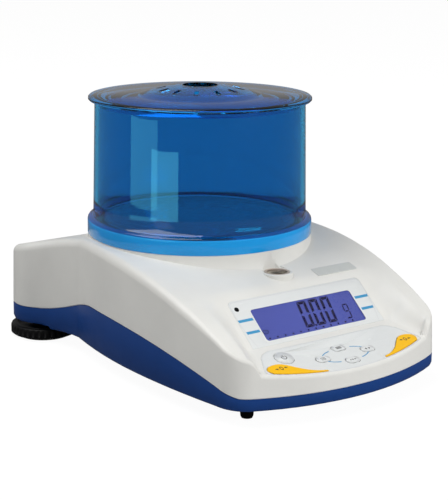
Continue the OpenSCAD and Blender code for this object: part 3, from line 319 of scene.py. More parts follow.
# Shader writing
class Value:
    """One value in a shader. Sums on it add Math nodes."""

    def __init__(self, shader, socket):
        self.shader, self.socket = shader, socket

    def math(self, operation, *others):
        return self.shader.node("ShaderNodeMath", {"operation": operation}, [self, *others])

    def __add__(self, other):
        return self.math("ADD", other)

    def __sub__(self, other):
        return self.math("SUBTRACT", other)

    def __mul__(self, other):
        return self.math("MULTIPLY", other)

    def __rsub__(self, other):
        return self.shader.node("ShaderNodeMath", {"operation": "SUBTRACT"}, [other, self])

    __radd__, __rmul__ = __add__, __mul__

    def between(self, low, high):
        """0 below low, 1 above high, and even in between."""
        return self.shader.node("ShaderNodeMapRange", {"clamp": True},
                                {"Value": self, "From Min": low, "From Max": high})

    def split(self):
        """The three coordinates of a vector."""
        parts = self.shader.node("ShaderNodeSeparateXYZ", {}, [self]).socket.node.outputs
        return [Value(self.shader, part) for part in parts]


class Shader:
    """The shader of a material or of the world, under construction."""

    def __init__(self, owner, output="ShaderNodeOutputMaterial"):
        owner.use_nodes = True
        self.owner, self.tree = owner, owner.node_tree
        self.tree.nodes.clear()
        self.out = self.tree.nodes.new(output)

    def put(self, value, socket):
        """Links a value to a socket, or sets the socket to a number, a vector or a colour."""
        if isinstance(value, Value):
            self.tree.links.new(value.socket, socket)
        else:
            socket.default_value = (*value, 1) if socket.type == "RGBA" else value

    def node(self, kind, settings=None, inputs=(), output=0):
        made = self.tree.nodes.new(kind)
        for key, value in (settings or {}).items():
            setattr(made, key, value)
        pairs = inputs.items() if isinstance(inputs, dict) else enumerate(inputs)
        for key, value in pairs:
            self.put(value, made.inputs[key])
        return Value(self, made.outputs[output])

    def place(self, scale=(1, 1, 1), move=(0, 0, 0)):
        """Object coordinates, moved and scaled."""
        where = self.node("ShaderNodeTexCoord", output="Object")
        return self.node("ShaderNodeMapping", {}, {"Vector": where, "Location": move, "Scale": scale})

    def noise(self, scale, detail=3, rough=0.5, where=None):
        return self.node("ShaderNodeTexNoise", {}, {"Vector": where or self.place(), "Scale": scale,
                                                    "Detail": detail, "Roughness": rough})

    def mix(self, share, a, b):
        """Colour a where share is 0 and colour b where it is 1."""
        return self.node("ShaderNodeMix", {"data_type": "RGBA"}, {0: share, 6: a, 7: b}, output=2)

    def bump(self, height, strength, depth, under=None):
        inputs = {"Height": height, "Strength": strength, "Distance": depth}
        if under:
            inputs["Normal"] = under
        return self.node("ShaderNodeBump", {}, inputs)

    def ray(self, kind):
        """1 for rays of a kind, such as Is Camera Ray, and 0 for others."""
        return self.node("ShaderNodeLightPath", output=kind)

    def end(self, surface):
        self.put(surface, self.out.inputs["Surface"])
        return self.owner

    def surface(self, inputs):
        return self.end(self.node("ShaderNodeBsdfPrincipled", {}, inputs))


def new_finish(name):
    return Shader(bpy.data.materials.new(name))


def shaded_by(colour, factor, extra=0.0):
    """A colour made lighter or darker by a factor."""
    return tuple(min(1, c * factor + extra) for c in colour)


PLASTIC_IOR = 1.5
# Depths of surface relief in metres
FLOW_DEPTH, HAZE_DEPTH, SPARK_DEPTH, PEBBLE_DEPTH = 6e-4, 4e-4, 1e-4, 5e-5
TRACK_DEPTH, BRUSH_DEPTH, INK_DEPTH = 4e-5, 3e-5, 2e-5
# Scales of the patterns per metre
FLOW, HAZE, SCUFF, WEAR, DUST, CELLS, PEEL, SHEET, BRUSH, WEAVE, PEBBLES, SPARK = (
    18, 30, 60, 95, 160, 190, 420, 500, 900, 1200, 1500, 2600)


def moulded(name, colour, rough, grain=0.05, mottle=0.03, shine=0.5):
    """Moulded plastic: fine spark grain, faint flow mottling and a little handling wear in the gloss."""
    f = new_finish(name)
    flow = f.noise(FLOW, 4, 0.6)
    fine = f.noise(SPARK, 2, 0.5)
    wear = f.noise(WEAR, 5, 0.65)
    base = f.mix(flow.between(0.3, 0.7), shaded_by(colour, 1 - mottle * 2), shaded_by(colour, 1 + mottle))
    gloss = rough + (wear.between(0.35, 0.75) - 0.5) * 0.1 + (flow - 0.5) * 0.08
    return f.surface({"Base Color": base, "Roughness": gloss, "IOR": PLASTIC_IOR, "Specular IOR Level": shine,
                      "Normal": f.bump(fine, grain, SPARK_DEPTH, f.bump(flow, 0.05, FLOW_DEPTH))})


def printed_film(name, colour, rough=0.22, shine=0.5, coat=0.2):
    """Printed polyester film: smooth, with a faint orange-peel and tiny scuffs."""
    f = new_finish(name)
    peel = f.noise(PEEL, 2, 0.4)
    scuff = f.noise(SCUFF, 6, 0.7, f.place(scale=(1, 5, 1)))
    base = f.mix(scuff.between(0.45, 0.8), colour, shaded_by(colour, 0.965))
    return f.surface({"Base Color": base, "Roughness": rough + scuff.between(0.5, 0.8) * 0.1,
                      "IOR": PLASTIC_IOR, "Specular IOR Level": shine, "Coat Weight": coat,
                      "Normal": f.bump(peel, 0.05, SPARK_DEPTH)})


def ink(name, colour, rough=0.35, shine=0.5):
    """Screen-printed ink, a little uneven in density."""
    f = new_finish(name)
    patch = f.noise(PEBBLES, 3, 0.6)
    base = f.mix(patch.between(0.35, 0.65), colour, shaded_by(colour, 1.12, 0.004))
    return f.surface({"Base Color": base, "Roughness": rough + (patch - 0.5) * 0.12,
                      "Specular IOR Level": shine, "Normal": f.bump(patch, 0.08, INK_DEPTH)})


def clear_acrylic(name, colour, rough=0.02, ior=1.49, shine=0.5, painted_rim_light=0.0):
    """Polished clear or tinted acrylic with faint haze; a share of it can be a plain bright colour, painted
    light of a white rim behind it, in place of clear acrylic.
    """
    f = new_finish(name)
    haze = f.noise(HAZE, 5, 0.6, f.place(scale=(1, 1, 0.35)))
    return f.surface({"Base Color": colour, "Roughness": rough + haze.between(0.5, 0.9) * 0.03,
                      "Transmission Weight": 1 - painted_rim_light, "IOR": ior, "Specular IOR Level": shine,
                      "Normal": f.bump(haze, 0.004, HAZE_DEPTH)})


def brushed(name, colour, rough, turned_round=None):
    """Metal with fine marks: round a centre where it was turned, and else straight."""
    f = new_finish(name)
    if turned_round:
        x, y, _ = f.place(move=tuple(-c for c in turned_round)).split()
        radius = (x * x + y * y).math("SQRT")
        lines = f.node("ShaderNodeTexNoise", {"noise_dimensions": "1D"},
                       {"W": radius, "Scale": SPARK, "Detail": 4})
    else:
        lines = f.noise(BRUSH, 4, 0.6, f.place(scale=(1, 0.02, 1)))
    cloud = f.noise(40, 4)
    base = f.mix(lines, shaded_by(colour, 0.82), shaded_by(colour, 1.1))
    return f.surface({"Base Color": base, "Metallic": 1.0,
                      "Roughness": rough + (lines - 0.5) * 0.14 + (cloud - 0.5) * 0.1,
                      "Normal": f.bump(lines, 0.12, BRUSH_DEPTH)})


def rubber(name, colour):
    """Black rubber with a dusty, pebbled skin."""
    f = new_finish(name)
    pebble = f.node("ShaderNodeTexVoronoi", {}, {"Vector": f.place(), "Scale": PEBBLES})
    dust = f.noise(DUST, 5, 0.7)
    base = f.mix(dust.between(0.45, 0.8), colour, shaded_by(colour, 1.6, 0.001))
    return f.surface({"Base Color": base, "Roughness": 0.5 + dust.between(0.3, 0.8) * 0.2,
                      "Specular IOR Level": 0.06, "Normal": f.bump(pebble, 0.12, PEBBLE_DEPTH)})


def circuit(name):
    """Green solder mask with copper tracks under it."""
    f = new_finish(name)
    cells = f.node("ShaderNodeTexVoronoi", {"feature": "DISTANCE_TO_EDGE"},
                   {"Vector": f.place(), "Scale": CELLS})
    track = cells.between(0.05, 0.09)
    base = f.mix(track, (0.03, 0.2, 0.08), (0.008, 0.085, 0.035))
    return f.surface({"Base Color": base, "Roughness": 0.32 + f.noise(WEAVE, 2) * 0.12, "Coat Weight": 0.3,
                      "Normal": f.bump(track, 0.3, TRACK_DEPTH)})


def backlit(name):
    """Blue liquid crystal panel lit from behind, a little brighter in its middle."""
    f = new_finish(name)
    x, _, _ = f.place().split()
    edge = x.math("ABSOLUTE").between(0.02, 0.038)
    blue = f.mix(edge, (0.088, 0.104, 0.43), (0.082, 0.094, 0.385))
    return f.surface({"Base Color": (0.02, 0.03, 0.12), "Emission Color": blue, "Emission Strength": 0.56,
                      "Roughness": 0.25 + f.noise(SHEET, 2) * 0.06, "Specular IOR Level": 0.05})


WHITE = (0.79, 0.785, 0.75)
BLUE = (0.009, 0.047, 0.205)
FILM = (0.755, 0.775, 0.77)
finishes = {
    "white_plastic": moulded("white_plastic", WHITE, 0.38),
    "blue_plastic": moulded("blue_plastic", BLUE, 0.36, grain=0.07, mottle=0.05, shine=0.16),
    "panel_film": printed_film("panel_film", FILM),
    "amber_key": printed_film("amber_key", (0.95, 0.53, 0.012), 0.3, 0.15, 0.03),
    "clear_window": clear_acrylic("clear_window", (0.99, 0.99, 1.0), 0.01, 1.2, 0.3),
    "lcd": backlit("lcd"),
    "tinted_acrylic": clear_acrylic("tinted_acrylic", (0.006, 0.285, 0.55), shine=0.2),
    "dark_plastic": moulded("dark_plastic", (0.004, 0.004, 0.0045), 0.45, grain=0.12, shine=0.12),
    "circuit_board": circuit("circuit_board"),
    "light_guide": moulded("light_guide", (0.8, 0.83, 0.92), 0.3),
    "aluminium": brushed("aluminium", (0.62, 0.63, 0.65), 0.33),
    "stainless": brushed("stainless", (0.6, 0.6, 0.61), 0.28, turned_round=(0, PAN_Y * MM, 0)),
    "zinc_steel": brushed("zinc_steel", (0.58, 0.59, 0.6), 0.3),
    "brass": brushed("brass", (0.72, 0.5, 0.19), 0.3),
    "rubber": rubber("rubber", (0.002, 0.002, 0.0022)),
    "cell_wrap": printed_film("cell_wrap", (0.03, 0.09, 0.3), 0.3),
    "level_ring": moulded("level_ring", (0.46, 0.38, 0.32), 0.35),
    "level_fluid": clear_acrylic("level_fluid", (0.95, 0.94, 0.84), 0.02, 1.36),
}
lid_acrylic = clear_acrylic("lid_acrylic", (0.006, 0.19, 0.5), shine=0.25)
# The skirt is mostly a plain bright blue, painted light of the white rim behind it, with a little clear
# acrylic
skirt_acrylic_and_painted_rim_light = clear_acrylic("skirt_acrylic_and_painted_rim_light", (0.017, 0.38, 0.88), 0.05, shine=0.3, painted_rim_light=0.85)
dark_ink = ink("dark_ink", (0.03, 0.022, 0.02))
stripe_ink = ink("stripe_ink", (0.045, 0.285, 0.53))
line_ink = ink("line_ink", (0.58, 0.58, 0.6))
segment_ink = ink("segment_ink", (0.003, 0.001, 0.03), 0.4, 0.05)
label_finish = printed_film("label_finish", (0.6, 0.62, 0.6), 0.3, 0.3, 0.1)


# Rows of equal copies, by Geometry Nodes
def copies_group():
    group = bpy.data.node_groups.new("row_of_copies", "GeometryNodeTree")
    for label, kind in (("Geometry", "NodeSocketGeometry"), ("Copies", "NodeSocketInt"),
                        ("Step", "NodeSocketVector"), ("Finish", "NodeSocketMaterial")):
        group.interface.new_socket(name=label, in_out="INPUT", socket_type=kind)
    group.interface.new_socket(name="Geometry", in_out="OUTPUT", socket_type="NodeSocketGeometry")
    given, line, copies, real, coat, out = (group.nodes.new(kind) for kind in (
        "NodeGroupInput", "GeometryNodeMeshLine", "GeometryNodeInstanceOnPoints",
        "GeometryNodeRealizeInstances", "GeometryNodeSetMaterial", "NodeGroupOutput"))
    line.mode = "OFFSET"
    for source, target in ((given.outputs["Copies"], line.inputs["Count"]),
                           (given.outputs["Step"], line.inputs["Offset"]),
                           (line.outputs[0], copies.inputs["Points"]),
                           (given.outputs["Geometry"], copies.inputs["Instance"]),
                           (copies.outputs[0], real.inputs[0]),
                           (real.outputs[0], coat.inputs["Geometry"]),
                           (given.outputs["Finish"], coat.inputs["Material"]),
                           (coat.outputs[0], out.inputs[0])):
        group.links.new(source, target)
    return group


row_of_copies = copies_group()


def row(name, shape, copies, step, body, finish):
    """A piece made of equal copies of a shape, each a step in millimetres from the one before."""
    one = in_scene(name + "_one", raw_mesh(name + "_one", shape))
    maker = one.modifiers.new("copies", "NODES")
    maker.node_group = row_of_copies
    values = {"Copies": copies, "Step": [c * MM for c in step], "Finish": finish}
    for item in row_of_copies.interface.items_tree:
        if item.in_out == "INPUT" and item.name in values:
            maker[item.identifier] = values[item.name]
    whole = evaluated(one)
    bpy.data.objects.remove(one)
    return finish_piece(name, whole, body, finish)


# Upper housing
FLOOR_COLS, RISE_COLS, EDGE_COLS = 16, 26, 3
HALF_COLS = FLOOR_COLS + RISE_COLS + EDGE_COLS
COLS = 2 * HALF_COLS
FRONT_STEPS, CORNER_STEPS, BLEND_STEPS, LOBE_STEPS, ROUND_STEPS = 30, 20, 16, 30, 10
# Steps along the sides: fine beside the control panel, wider behind it
SIDE_FINE, SIDE_WIDE, FINE_TO_Y = 1.0, 2.5, -46
# How far the columns of the hollow's floor and shoulder may reach, and the least run between them
FLOOR_REACH, SHOULDER_REACH, LEAST_RUN = 0.86, 0.97, 0.05


def half_plan():
    """The right half of the outline, from just beside the middle of the front to the back."""
    ys, y = [], CORNER_CY + 1.5
    while y < NECK_Y - 2:
        ys.append(y)
        y += SIDE_FINE if y < FINE_TO_Y else SIDE_WIDE
    half = [(FRONT_R * math.sin(a), FRONT_CY - FRONT_R * math.cos(a))
            for a in (CORNER_FROM * i / FRONT_STEPS for i in range(1, FRONT_STEPS + 1))]
    half += [(CORNER_X + CORNER_R * math.sin(a), CORNER_CY - CORNER_R * math.cos(a))
             for a in (CORNER_FROM + (CORNER_TO - CORNER_FROM) * i / CORNER_STEPS
                       for i in range(1, CORNER_STEPS + 1))]
    half += [(side_x(y), y) for y in ys]
    half += [(BLEND_X + BLEND_R * math.cos(a), NECK_Y + BLEND_R * math.sin(a))
             for a in (math.pi + (BLEND_TO - math.pi) * i / BLEND_STEPS for i in range(BLEND_STEPS))]
    lobe_from = BLEND_TO - math.pi
    half += [(FOOT_X + LOBE_R * math.cos(a), LOBE_CY + LOBE_R * math.sin(a))
             for a in (lobe_from + (math.pi / 2 - lobe_from) * i / LOBE_STEPS for i in range(LOBE_STEPS + 1))]
    return half


def deck_x(y, w, c):
    """Where column c of the deck's grid crosses y, on a deck that reaches w to each side."""
    k = abs(HALF_COLS - c)
    a = min(floor_x(y), FLOOR_REACH * w)
    b = max(min(shoulder_x(y), SHOULDER_REACH * w), a + LEAST_RUN * w)
    if k <= FLOOR_COLS:
        x = a * k / FLOOR_COLS
    elif k <= FLOOR_COLS + RISE_COLS:
        x = a + (b - a) * (k - FLOOR_COLS) / RISE_COLS
    else:
        x = b + (w - b) * (k - FLOOR_COLS - RISE_COLS) / EDGE_COLS
    return x if c <= HALF_COLS else -x


def wall_rings(plan, edges, heights):
    """Rings of points from the seam up the wall and round the top edge."""
    rings = [[(x, y, seam(y)) for x, y in offset(plan, -LIP)], [(x, y, seam(y) + LIP) for x, y in plan]]
    for step in range(ROUND_STEPS + 1):
        a = math.pi / 2 * step / ROUND_STEPS
        line = offset(plan, [-(WALL_LEAN + e * (1 - math.cos(a))) for e in edges])
        rings.append([(p[0], p[1], h - e * (1 - math.sin(a))) for p, h, e in zip(line, heights, edges)])
    return rings


def upper_skin():
    """The outside of the upper housing: rings up the wall, and a fine grid over the top."""
    half = half_plan()
    rows = len(half)
    plan = [(0, FRONT_Y)] + half + [(deck_x(REAR_Y, FOOT_X, c), REAR_Y) for c in range(1, COLS)]
    plan += [(-x, y) for x, y in reversed(half)]
    n = len(plan)
    edges = [edge_at(y) for x, y in plan]
    top = offset(plan, [-(WALL_LEAN + e) for e in edges])
    rings = wall_rings(plan, edges, [top_z(*p) for p in top])
    points = [p for ring in rings for p in ring]
    faces = [(r * n + j, r * n + (j + 1) % n, (r + 1) * n + (j + 1) % n, (r + 1) * n + j)
             for r in range(len(rings) - 1) for j in range(n)]
    base, grid = (len(rings) - 1) * n, len(points)
    for x0, y0 in top[1:rows]:
        xs = [deck_x(y0, x0, c) for c in range(1, COLS)]
        points += [(x, y0, top_z(x, y0)) for x in xs]

    def at(i, c):
        """Point of the deck in row i and column c, on the top ring where the deck ends."""
        if c == 0:
            return base + i
        if c == COLS:
            return base + n - i
        return base + rows + c if i == rows else grid + (i - 1) * (COLS - 1) + c - 1

    faces += [(base, at(1, c + 1), at(1, c)) for c in range(COLS)]
    faces += [(at(i, c), at(i, c + 1), at(i + 1, c + 1), at(i + 1, c))
              for i in range(1, rows) for c in range(COLS)]
    # Closed underneath, hidden by the lower housing
    faces += [(0, 1, n - 1)] + [(i, i + 1, n - i - 1, n - i) for i in range(1, rows)]
    faces.append(tuple(range(rows, rows + COLS + 1)))
    return points, faces


def cut(piece, shapes):
    """Cuts closed shapes out of a piece."""
    group = bpy.data.collections.new("cutters")
    scene.collection.children.link(group)
    cutters = [bpy.data.objects.new("cutter", clean(raw_mesh("cutter", shape))) for shape in shapes]
    for cutter in cutters:
        group.objects.link(cutter)
    step = piece.modifiers.new("cut", "BOOLEAN")
    step.operation, step.solver = "DIFFERENCE", "EXACT"
    step.operand_type, step.collection = "COLLECTION", group
    result = evaluated(piece)
    piece.modifiers.clear()
    piece.data = result
    for cutter in cutters:
        bpy.data.objects.remove(cutter)
    bpy.data.collections.remove(group)


def front_arc(x, d):
    return FRONT_CY - math.sqrt((FRONT_R - d) ** 2 - x * x)


# Outlines of the two printed faces
FACE_MARGIN, FACE_FRONT = 3.1, 2.3
DISPLAY_MARGIN, DISPLAY_LOW, DISPLAY_BACK, DISPLAY_R = 2.4, 0.4, 18, 3
KEYPAD_BACK, KEYPAD_FRONT_CUT, KEYPAD_BACK_CUT, KEYPAD_BACK_IN = 3.6, (0.9, 1.1), (1.4, 1.6), 5.6
CREASE_Y = ((DISP_Y * tan_deg(DISP_TILT) - KEY_Y * tan_deg(KEY_TILT) + KEY_Z - DISP_Z)
            / (tan_deg(DISP_TILT) - tan_deg(KEY_TILT)))


def display_outline(d=0):
    w, low = FLOOR_W - DISPLAY_MARGIN + d, display_v(CREASE_Y) + DISPLAY_LOW - d
    high, r = DISPLAY_BACK + d, DISPLAY_R + d
    return [(-w, low), (w, low)] + arc(w - r, high - r, r, 0, 90, 8) + arc(-w + r, high - r, r, 90, 180, 8)


def keypad_edge(y):
    return floor_x(y) - FACE_MARGIN


def keypad_outline(d=0):
    corner_y, back = front_arc(FLOOR_FRONT_W - FACE_MARGIN - 3, FACE_FRONT), CREASE_Y - KEYPAD_BACK
    side_from, side_to = corner_y + 3.2, back - 4.4
    half = [(x, front_arc(x, FACE_FRONT)) for x in range(9, 55, 9)]
    half.append((keypad_edge(corner_y) - KEYPAD_FRONT_CUT[0], corner_y + KEYPAD_FRONT_CUT[1]))
    half += [(keypad_edge(y), y) for y in (side_from + (side_to - side_from) * t / 3 for t in range(4))]
    half += [(keypad_edge(back) - KEYPAD_BACK_CUT[0], back - KEYPAD_BACK_CUT[1]),
             (keypad_edge(back) - KEYPAD_BACK_IN, back)]
    line = [(0, FRONT_Y + FACE_FRONT)] + half + [(-x, y) for x, y in reversed(half)]
    return offset([(x, keypad_v(y)) for x, y in line], d)


def ellipse(rx, ry, cx, cy, steps):
    return [(cx + rx * math.cos(2 * math.pi * k / steps), cy + ry * math.sin(2 * math.pi * k / steps))
            for k in range(steps)]


def disc(r, cx=0, cy=0, steps=64):
    return ellipse(r, r, cx, cy, steps)


def block(x0, x1, y0, y1, z0, z1):
    return prism([(x0, y0), (x1, y0), (x1, y1), (x0, y1)], z0, z1)


# Openings in the back: middle, half width and half height of each
PORT_Z, PORTS = SEAM_REAR_Z + 14, ((-4, 15.75, 6.55), (30, 6.35, 5.75), (-36, 4.95, 4.95), (46, 1.5, 3.5))
RECESS_W, RECESS_H, RECESS_DEPTH, PORT_DEPTH = 52, 9.5, 2, 2 * WALL_T + 3
INDICATOR_X, INDICATOR_Y, INDICATOR_R, WINDOW_RIM = -43.8, -67.4, 1.5, 2.2
# Where the cutters end: above the deck, behind the back, and over and under the sloping faces
ABOVE, BEHIND, FACE_OVER, HOLE_OVER, WINDOW_UNDER, LENS_UNDER, POST_HOLE_Z = 90, REAR_Y + 3, 8, 2, -12, -8, 50
FLARE_R, FLARE_FROM, FLARE_MID_Z, PLINTH_FOOT_Z = 12, 40, 70, 58
BOSS_FLARE, TOP_ROUND, COLLAR_ROUND, BOSS_ROUND, HOLE_CHAMFER = 4.5, 0.6, 0.4, 0.7, 0.3


def housing_openings():
    """What is cut out of the upper housing: the seats of the panel, the holes and the ports."""
    window = box_outline(WINDOW_W + 2 * WINDOW_RIM, WINDOW_H + 2 * WINDOW_RIM)
    return [
        prism(display_outline(FACE_GAP), -FACE_T, FACE_OVER, on_display),
        prism(window, WINDOW_UNDER, HOLE_OVER, on_display),
        prism(disc(INDICATOR_R, INDICATOR_X, display_v(INDICATOR_Y), 24), LENS_UNDER, HOLE_OVER, on_display),
        prism(keypad_outline(FACE_GAP), -FACE_T, FACE_OVER, on_keypad),
        prism(disc(POST_HOLE_R, 0, PAN_Y), POST_HOLE_Z, ABOVE),
        prism(disc(LEVEL_HOLE_R, 0, LEVEL_Y), LEVEL_Z - LEVEL_DEPTH, ABOVE),
        prism(disc(LEVEL_BOSS_R - 0.6, 0, LEVEL_Y), LEVEL_Z - 0.8, ABOVE),
        block(-RECESS_W, RECESS_W, REAR_Y - RECESS_DEPTH, BEHIND, PORT_Z - RECESS_H, PORT_Z + RECESS_H),
    ] + [block(x - w, x + w, REAR_Y - PORT_DEPTH, BEHIND, PORT_Z - h, PORT_Z + h) for x, w, h in PORTS]


def platform():
    """The round platform of the shield with its centring rim and the collar of the post hole."""
    wall, rim_top, collar_top = PLINTH_R + FLARE_R, PLINTH_Z + RIM_H, PLINTH_Z + COLLAR_H
    flare_x = PLINTH_R + FLARE_R * (1 - math.sin(math.radians(FLARE_FROM)))
    profile = [(POST_HOLE_R, PLINTH_FOOT_Z), (flare_x, PLINTH_FOOT_Z)]
    profile += arc(wall, FLARE_MID_Z, FLARE_R, 270 - FLARE_FROM, 180, 16)
    profile += [(PLINTH_R, PLINTH_Z - COLLAR_ROUND), (PLINTH_R - COLLAR_ROUND, PLINTH_Z), (RIM_R, PLINTH_Z)]
    profile += arc(RIM_R - TOP_ROUND, rim_top - TOP_ROUND, TOP_ROUND, 0, 90, 4)
    profile += arc(RIM_R - WALL_T + TOP_ROUND, rim_top - TOP_ROUND, TOP_ROUND, 90, 180, 4)
    profile += [(RIM_R - WALL_T, PLINTH_Z), (COLLAR_R, PLINTH_Z)]
    profile += arc(COLLAR_R - COLLAR_ROUND, collar_top - COLLAR_ROUND, COLLAR_ROUND, 0, 90, 3)
    profile.append((POST_HOLE_R, collar_top))
    made = in_scene("platform", clean(raw_mesh("platform", lathe_rows(profile, 160, (0, PAN_Y)))))
    cut(made, [prism(disc(LEVEL_HOLE_R + 0.5, 0, LEVEL_Y), LEVEL_Z - LEVEL_DEPTH, ABOVE)])
    return made


def level_boss():
    """The collar of the level, which flares out into the deck."""
    foot, outer = LEVEL_Z - LEVEL_DEPTH, LEVEL_BOSS_R + BOSS_FLARE
    profile = [(LEVEL_HOLE_R, foot), (outer, foot)]
    profile += arc(outer, foot + BOSS_FLARE, BOSS_FLARE, 270, 188, 12)
    profile += arc(LEVEL_BOSS_R - BOSS_ROUND, LEVEL_Z - BOSS_ROUND, BOSS_ROUND, 0, 90, 4)
    profile += [(LEVEL_HOLE_R + HOLE_CHAMFER, LEVEL_Z), (LEVEL_HOLE_R, LEVEL_Z - HOLE_CHAMFER)]
    return in_scene("boss", clean(raw_mesh("boss", lathe_rows(profile, 72, (0, LEVEL_Y)))))


def upper_housing():
    shell = new_piece("upper_shell", upper_skin(), "chassis", finishes["white_plastic"],
                      SHELL_ANGLE)
    cut(shell, housing_openings())
    work = bmesh.new()
    for part in (platform(), level_boss()):
        work.from_mesh(part.data)
        bpy.data.objects.remove(part)
    work.from_mesh(shell.data)
    work.to_mesh(shell.data)
    work.free()
    shade(shell.data, SHELL_ANGLE)
    for face in shell.data.polygons:
        face.material_index = 0
    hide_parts("upper_housing")


upper_housing()

# The solids of the part that show, smooth-shaded
for name in nodes:
    if name != "upper_housing":
        dressed = dress(name, lid_acrylic if name == "shield_lid" else finishes[slot_of[name]])
        if name == "draft_shield":
            # The skirt's bright blue is painted light of the white rim behind it, a plain colour in place of
            # light passing through
            dressed.data.materials.append(skirt_acrylic_and_painted_rim_light)
            for face in dressed.data.polygons:
                face.material_index = int(face.center.z < (SKIRT_TOP - 1) * MM and face.normal.z < 0.5)


# Printing on the display face
def print_on(name, shapes, place, body, finish, low=0.0, high=0.05):
    """A layer of ink: each shape is an outline, or a pair of outlines with the strip between them."""
    parts = []
    for shape in shapes:
        if isinstance(shape, tuple):
            parts.append(ring_prism(shape[0], shape[1], low, high, place))
        else:
            parts.append(prism(shape, low, high, place))
    new_piece(name, joined(*parts), body, finish)


def outlined(line, width):
    """The strip of a width along a closed outline."""
    return offset(line, width / 2), offset(line, -width / 2)


# Widths of printed lines
DISPLAY_LINE, KEYPAD_LINE, POWER_RIM_LINE, SMALL_RIM_LINE, SIGN_LINE, ZERO_LINE, PAGE_LINE = (
    0.22, 0.18, 0.24, 0.2, 0.4, 0.44, 0.32)
# Sizes of the minus bar, the scale mark and the printed frame round the window
SIGN_W, SIGN_H, SCALE_W, SCALE_H = 1.5, 0.35, 1.1, 1.0
FRAME_OUT, FRAME_OUT_R, FRAME_IN, FRAME_IN_R = 1.4, 0.3, 0.5, 1.7
# Sizes of the marks on the keys
POWER_LINE, POWER_BAR_H, POWER_BAR_UP = 0.4, 1.7, 1.3
ZERO_RX, ZERO_RY, ARROW_TIP, ARROW_ROOT, ARROW_HALF = 0.85, 1.25, 1.8, 3.0, 0.8
TAIL_AT, TAIL_W, TAIL_H = 3.5, 1.3, 0.4
MODE_LINES, MODE_W, MODE_H = (-0.7, 0, 0.7), 3.6, 0.38
PAGE_W, PAGE_H, PAGE_BAR_W, PAGE_BAR_H = 2.6, 1.8, 1.6, 0.3
DOTS, DOT_R = (-1.5, 0, 1.5), 0.42
HEAD_TIP, HEAD_ROOT, HEAD_HALF = 1.9, 0.7, 0.8
# Height along the slope and outer end of each pair of stripes
STRIPES, STRIPE_HALF, STRIPE_GAP, STRIPE_SLANT = ((4.75, 47.1), (-3.25, 46)), 0.85, 0.8, 0.25
BORDER_SIDE = [(43.4, -14.6), (45.0, -9), (46.1, -3.3), (46.8, 2), (47.15, 8), (47.1, 14)]
BORDER_CORNER = arc(44.1, 14.2, 3, 10, 90, 6)


def display_stripes():
    shapes = []
    for v, reach in STRIPES:
        for side in (-1, 1):
            inner, outer = side * (WINDOW_W / 2 + STRIPE_GAP), side * reach
            stripe = [(inner, v - STRIPE_HALF), (inner, v + STRIPE_HALF), (outer, v + STRIPE_HALF),
                      (outer - STRIPE_SLANT * side, v - STRIPE_HALF)]
            shapes.append(stripe[::-side])
    print_on("display_stripes", shapes, on_display, "chassis", stripe_ink)


def display_border():
    half = BORDER_SIDE + BORDER_CORNER
    line = half + [(-x, y) for x, y in BORDER_CORNER[::-1]] + [(-x, y) for x, y in BORDER_SIDE[::-1]]
    print_on("display_border", [outlined(line, DISPLAY_LINE)], on_display, "chassis", line_ink)


display_stripes()
display_border()

# Digits and marks of the display
LCD_TOP, LCD_INK = -1.09, 0.03
DIGITS_U, DIGITS_V = (-6.1, 2.3, 10.7), -7.3
DIGIT_W, DIGIT_H, DIGIT_STROKE, DIGIT_LEAN, POINT = 6.4, 17.2, 1.9, 0.165, 1.2
UNIT_U, UNIT_W, UNIT_H, UNIT_STROKE = 24.3, 4.0, 9.8, 0.8
SIGN_U, SIGN_V, SIGN_RX, SIGN_RY = -33.2, -4.3, 1.9, 1.2
SCALE_MARKS, SCALE_STEP, SCALE_U, SCALE_V = 12, 5.45, -32.8, -8.7
SEGMENT_GAP = 0.25


def segment_digit(u, v, w, h, t, lit):
    """The lit segments of one digit, lettered a to g clockwise from the top with g in the middle."""
    g, m, bevel, nib = SEGMENT_GAP, h / 2, SEGMENT_GAP * 0.4, t * 0.5
    shapes = {
        "a": [(g, h), (t + bevel, h - t), (w - t - bevel, h - t), (w - g, h)],
        "b": [(w, m + g), (w, h - g), (w - t, h - t - g), (w - t, m + g + nib)],
        "c": [(w, m - g), (w - t, m - g - nib), (w - t, t + g), (w, g)],
        "d": [(g, 0), (w - g, 0), (w - t - bevel, t), (t + bevel, t)],
        "e": [(0, g), (t, t + g), (t, m - g - nib), (0, m - g)],
        "f": [(0, m + g), (t, m + g + nib), (t, h - t - g), (0, h - g)],
        "g": [(t, m - t / 2), (w - t, m - t / 2), (w - t, m + t / 2), (t, m + t / 2)],
    }
    return [[(u + x + y * DIGIT_LEAN, v + y) for x, y in shapes[k]] for k in lit]


def display_marks():
    shapes = []
    for u in DIGITS_U:
        shapes += segment_digit(u, DIGITS_V, DIGIT_W, DIGIT_H, DIGIT_STROKE, "abcdef")
    shapes.append(box_outline(POINT, POINT, 0, DIGITS_U[1] - 1, DIGITS_V + POINT / 2))
    shapes += segment_digit(UNIT_U, DIGITS_V + 0.2, UNIT_W, UNIT_H, UNIT_STROKE, "abcdfg")
    shapes.append(outlined(ellipse(SIGN_RX, SIGN_RY, SIGN_U, SIGN_V, 28), SIGN_LINE))
    shapes.append(box_outline(SIGN_W, SIGN_H, 0, SIGN_U, SIGN_V))
    print_on("display_segments", shapes, on_display, "chassis", segment_ink,
             LCD_TOP, LCD_TOP + LCD_INK)
    mark = prism(box_outline(SCALE_W, SCALE_H, 0, SCALE_U, SCALE_V), LCD_TOP, LCD_TOP + LCD_INK, on_display)
    row("display_scale", mark, SCALE_MARKS, (SCALE_STEP, 0, 0), "chassis", segment_ink)


def window_mask():
    """The printed edge of the display face round the window, with rounded inner corners."""
    outer = box_outline(WINDOW_W + FRAME_OUT, WINDOW_H + FRAME_OUT, FRAME_OUT_R)
    inner = box_outline(WINDOW_W - FRAME_IN, WINDOW_H - FRAME_IN, FRAME_IN_R)
    print_on("window_mask", [(outer, inner)], on_display, "chassis", finishes["panel_film"],
             0, 0.06)


display_marks()
window_mask()

